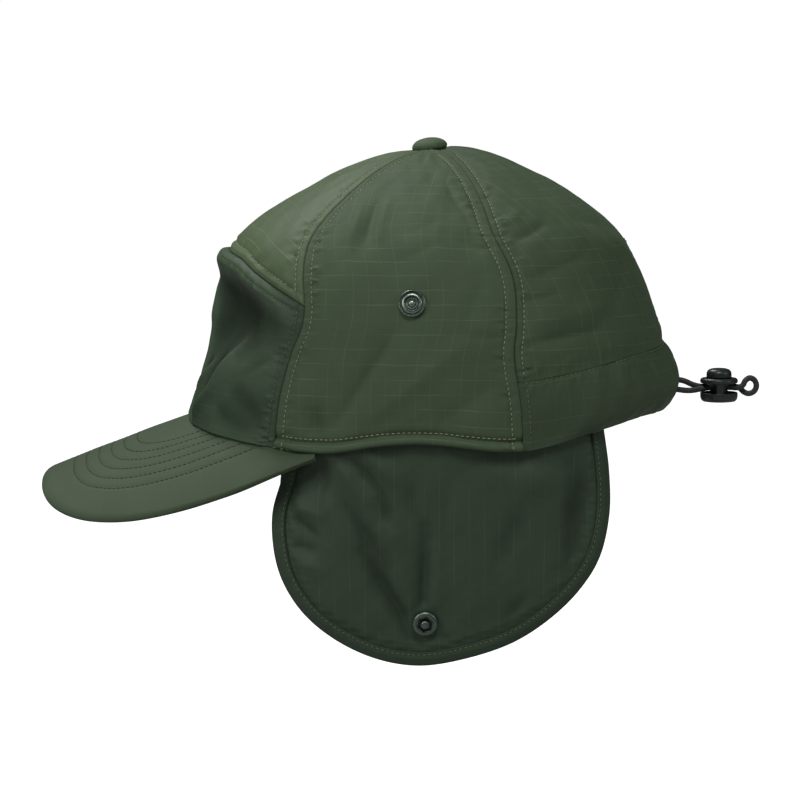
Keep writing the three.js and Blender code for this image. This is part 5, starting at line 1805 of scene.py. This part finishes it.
# %% Dress each piece
CLOTH_OF = {
    "front_panel_lower": (lower_cloth, "front_lower_cloth", 0.5),
    "front_panel_upper": (upper_cloth, "front_upper_cloth", 0.6),
    "side_panel_left": (side_cloth, "side_cloth", 0.6),
    "side_panel_right": (side_cloth, "side_cloth", 0.6),
    "back_panel_left": (back_cloth, "back_cloth", 0.6),
    "back_panel_right": (back_cloth, "back_cloth", 0.6),
    "drawcord_channel": (hem_cloth, "hem_cloth", 0.5),
    "crown_button": (button_cloth, "side_cloth", None),
    "peak": (peak_cloth, "peak_cloth", 0.8),
    "earflap_left": (flap_cloth, "flap_cloth", 0.4),
    "earflap_right": (flap_cloth, "flap_cloth", 0.4),
    "flap_binding_left": (binding_cloth, "binding_cloth", None),
    "flap_binding_right": (binding_cloth, "binding_cloth", None),
    "drawcord": (elastic, "elastic_cord", None),
}
for node, (material, slot, fill) in CLOTH_OF.items():
    piece = soft[node]
    piece.data.materials.clear()
    piece.data.materials.append(material)
    if fill is not None:
        piece.data.materials.append(peak_cloth if node == "peak" else lining_cloth)
    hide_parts(node)
    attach(piece, "cap")

for node, piece in hard.items():
    is_lock = node.startswith("cord_lock")
    piece.data.materials.append(plastic if is_lock else dark_metal if node.startswith("flap") else metal)
    if node.startswith("flap"):
        piece.data.materials.append(painted_recess_shade_metal)
    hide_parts(node)
    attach(piece, "lock_button" if node == "cord_lock_button" else "cap")

STITCH_THREAD = {
    "stitching_side_left": (side_thread, "side_cloth"),
    "stitching_side_right": (side_thread, "side_cloth"),
    "stitching_back_left": (side_thread, "back_cloth"),
    "stitching_back_right": (side_thread, "back_cloth"),
    "stitching_front_upper": (side_thread, "front_upper_cloth"),
    "stitching_front_lower": (painted_shade_thread, "front_lower_cloth"),
    "stitching_hem": (painted_shade_thread, "hem_cloth"),
    "stitching_peak": (dark_thread, "peak_cloth"),
    "stitching_flap_left": (painted_shade_thread, "binding_cloth"),
    "stitching_flap_right": (painted_shade_thread, "binding_cloth"),
}
for name, (thread, slot) in STITCH_THREAD.items():
    piece = stitching[name]
    piece.data.materials.append(thread)
    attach(piece, "cap")

# %% [markdown]
# ## Stage and light
# A pale floor runs far back. The light is two large soft lamps, high on the viewer's side and high
# behind the front, with weaker ones from low left and right, so the top of the front is brightest.

# %% Floor
FLOOR_Z = -250 * MM
FLOOR_SIZE = 60
FLOOR_BACK = 20
bpy.ops.object.select_all(action="DESELECT")
bpy.ops.mesh.primitive_plane_add(size=FLOOR_SIZE, location=(0, FLOOR_BACK, FLOOR_Z))
floor = bpy.context.object
floor.name = "floor"
bpy.ops.object.transform_apply(location=True, rotation=True, scale=True)
paper, paper_tree, paper_shader = new_surface("pale paper")
paper_shader.inputs["Base Color"].default_value = (0.42, 0.42, 0.42, 1)
paper_shader.inputs["Roughness"].default_value = 0.9
glow = paper_tree.nodes.new("ShaderNodeEmission")
glow.inputs["Color"].default_value = (1, 1, 1, 1)
seen = paper_tree.nodes.new("ShaderNodeLightPath")
paper_tree.links.new(seen.outputs["Is Camera Ray"], glow.inputs["Strength"])
together = paper_tree.nodes.new("ShaderNodeAddShader")
paper_tree.links.new(paper_shader.outputs[0], together.inputs[0])
paper_tree.links.new(glow.outputs[0], together.inputs[1])
paper_tree.links.new(together.outputs[0], paper_tree.nodes["Material Output"].inputs["Surface"])
floor.data.materials.append(paper)

# %% Lights and surround
world = scene.world or bpy.data.worlds.new("surround")
scene.world = world
world.use_nodes = True
surround = world.node_tree.nodes["Background"]
surround.inputs["Color"].default_value = (0.97, 0.985, 1.0, 1)
eye = world.node_tree.nodes.new("ShaderNodeLightPath")
shown = link_maths(world.node_tree, "MULTIPLY_ADD", eye.outputs["Is Camera Ray"], 1.05, 0.03)
world.node_tree.links.new(shown, surround.inputs["Strength"])
scene.view_settings.view_transform = "Standard"
scene.view_settings.look = "None"


def soft_lamp(name, place, aim, size, power):
    """A round area lamp that points at its aim."""
    data = bpy.data.lights.new(name, "AREA")
    data.shape = "DISK"
    data.size = size
    data.energy = power
    lamp = bpy.data.objects.new(name, data)
    scene.collection.objects.link(lamp)
    lamp.location = place
    lamp.rotation_euler = (Vector(aim) - Vector(place)).to_track_quat("-Z", "Y").to_euler()
    return lamp


soft_lamp("key", (0.0, -1.6, 1.9), (0, 0, 0.04), 0.8, 25)
soft_lamp("top", (-0.8, 0.9, 2.1), (0, 0, 0.04), 0.8, 32)
soft_lamp("left fill", (-1.8, -1.6, 1.0), (0, 0, 0), 1.0, 18)
soft_lamp("right fill", (2.1, -1.0, 1.0), (0.05, 0, 0.03), 1.0, 8)
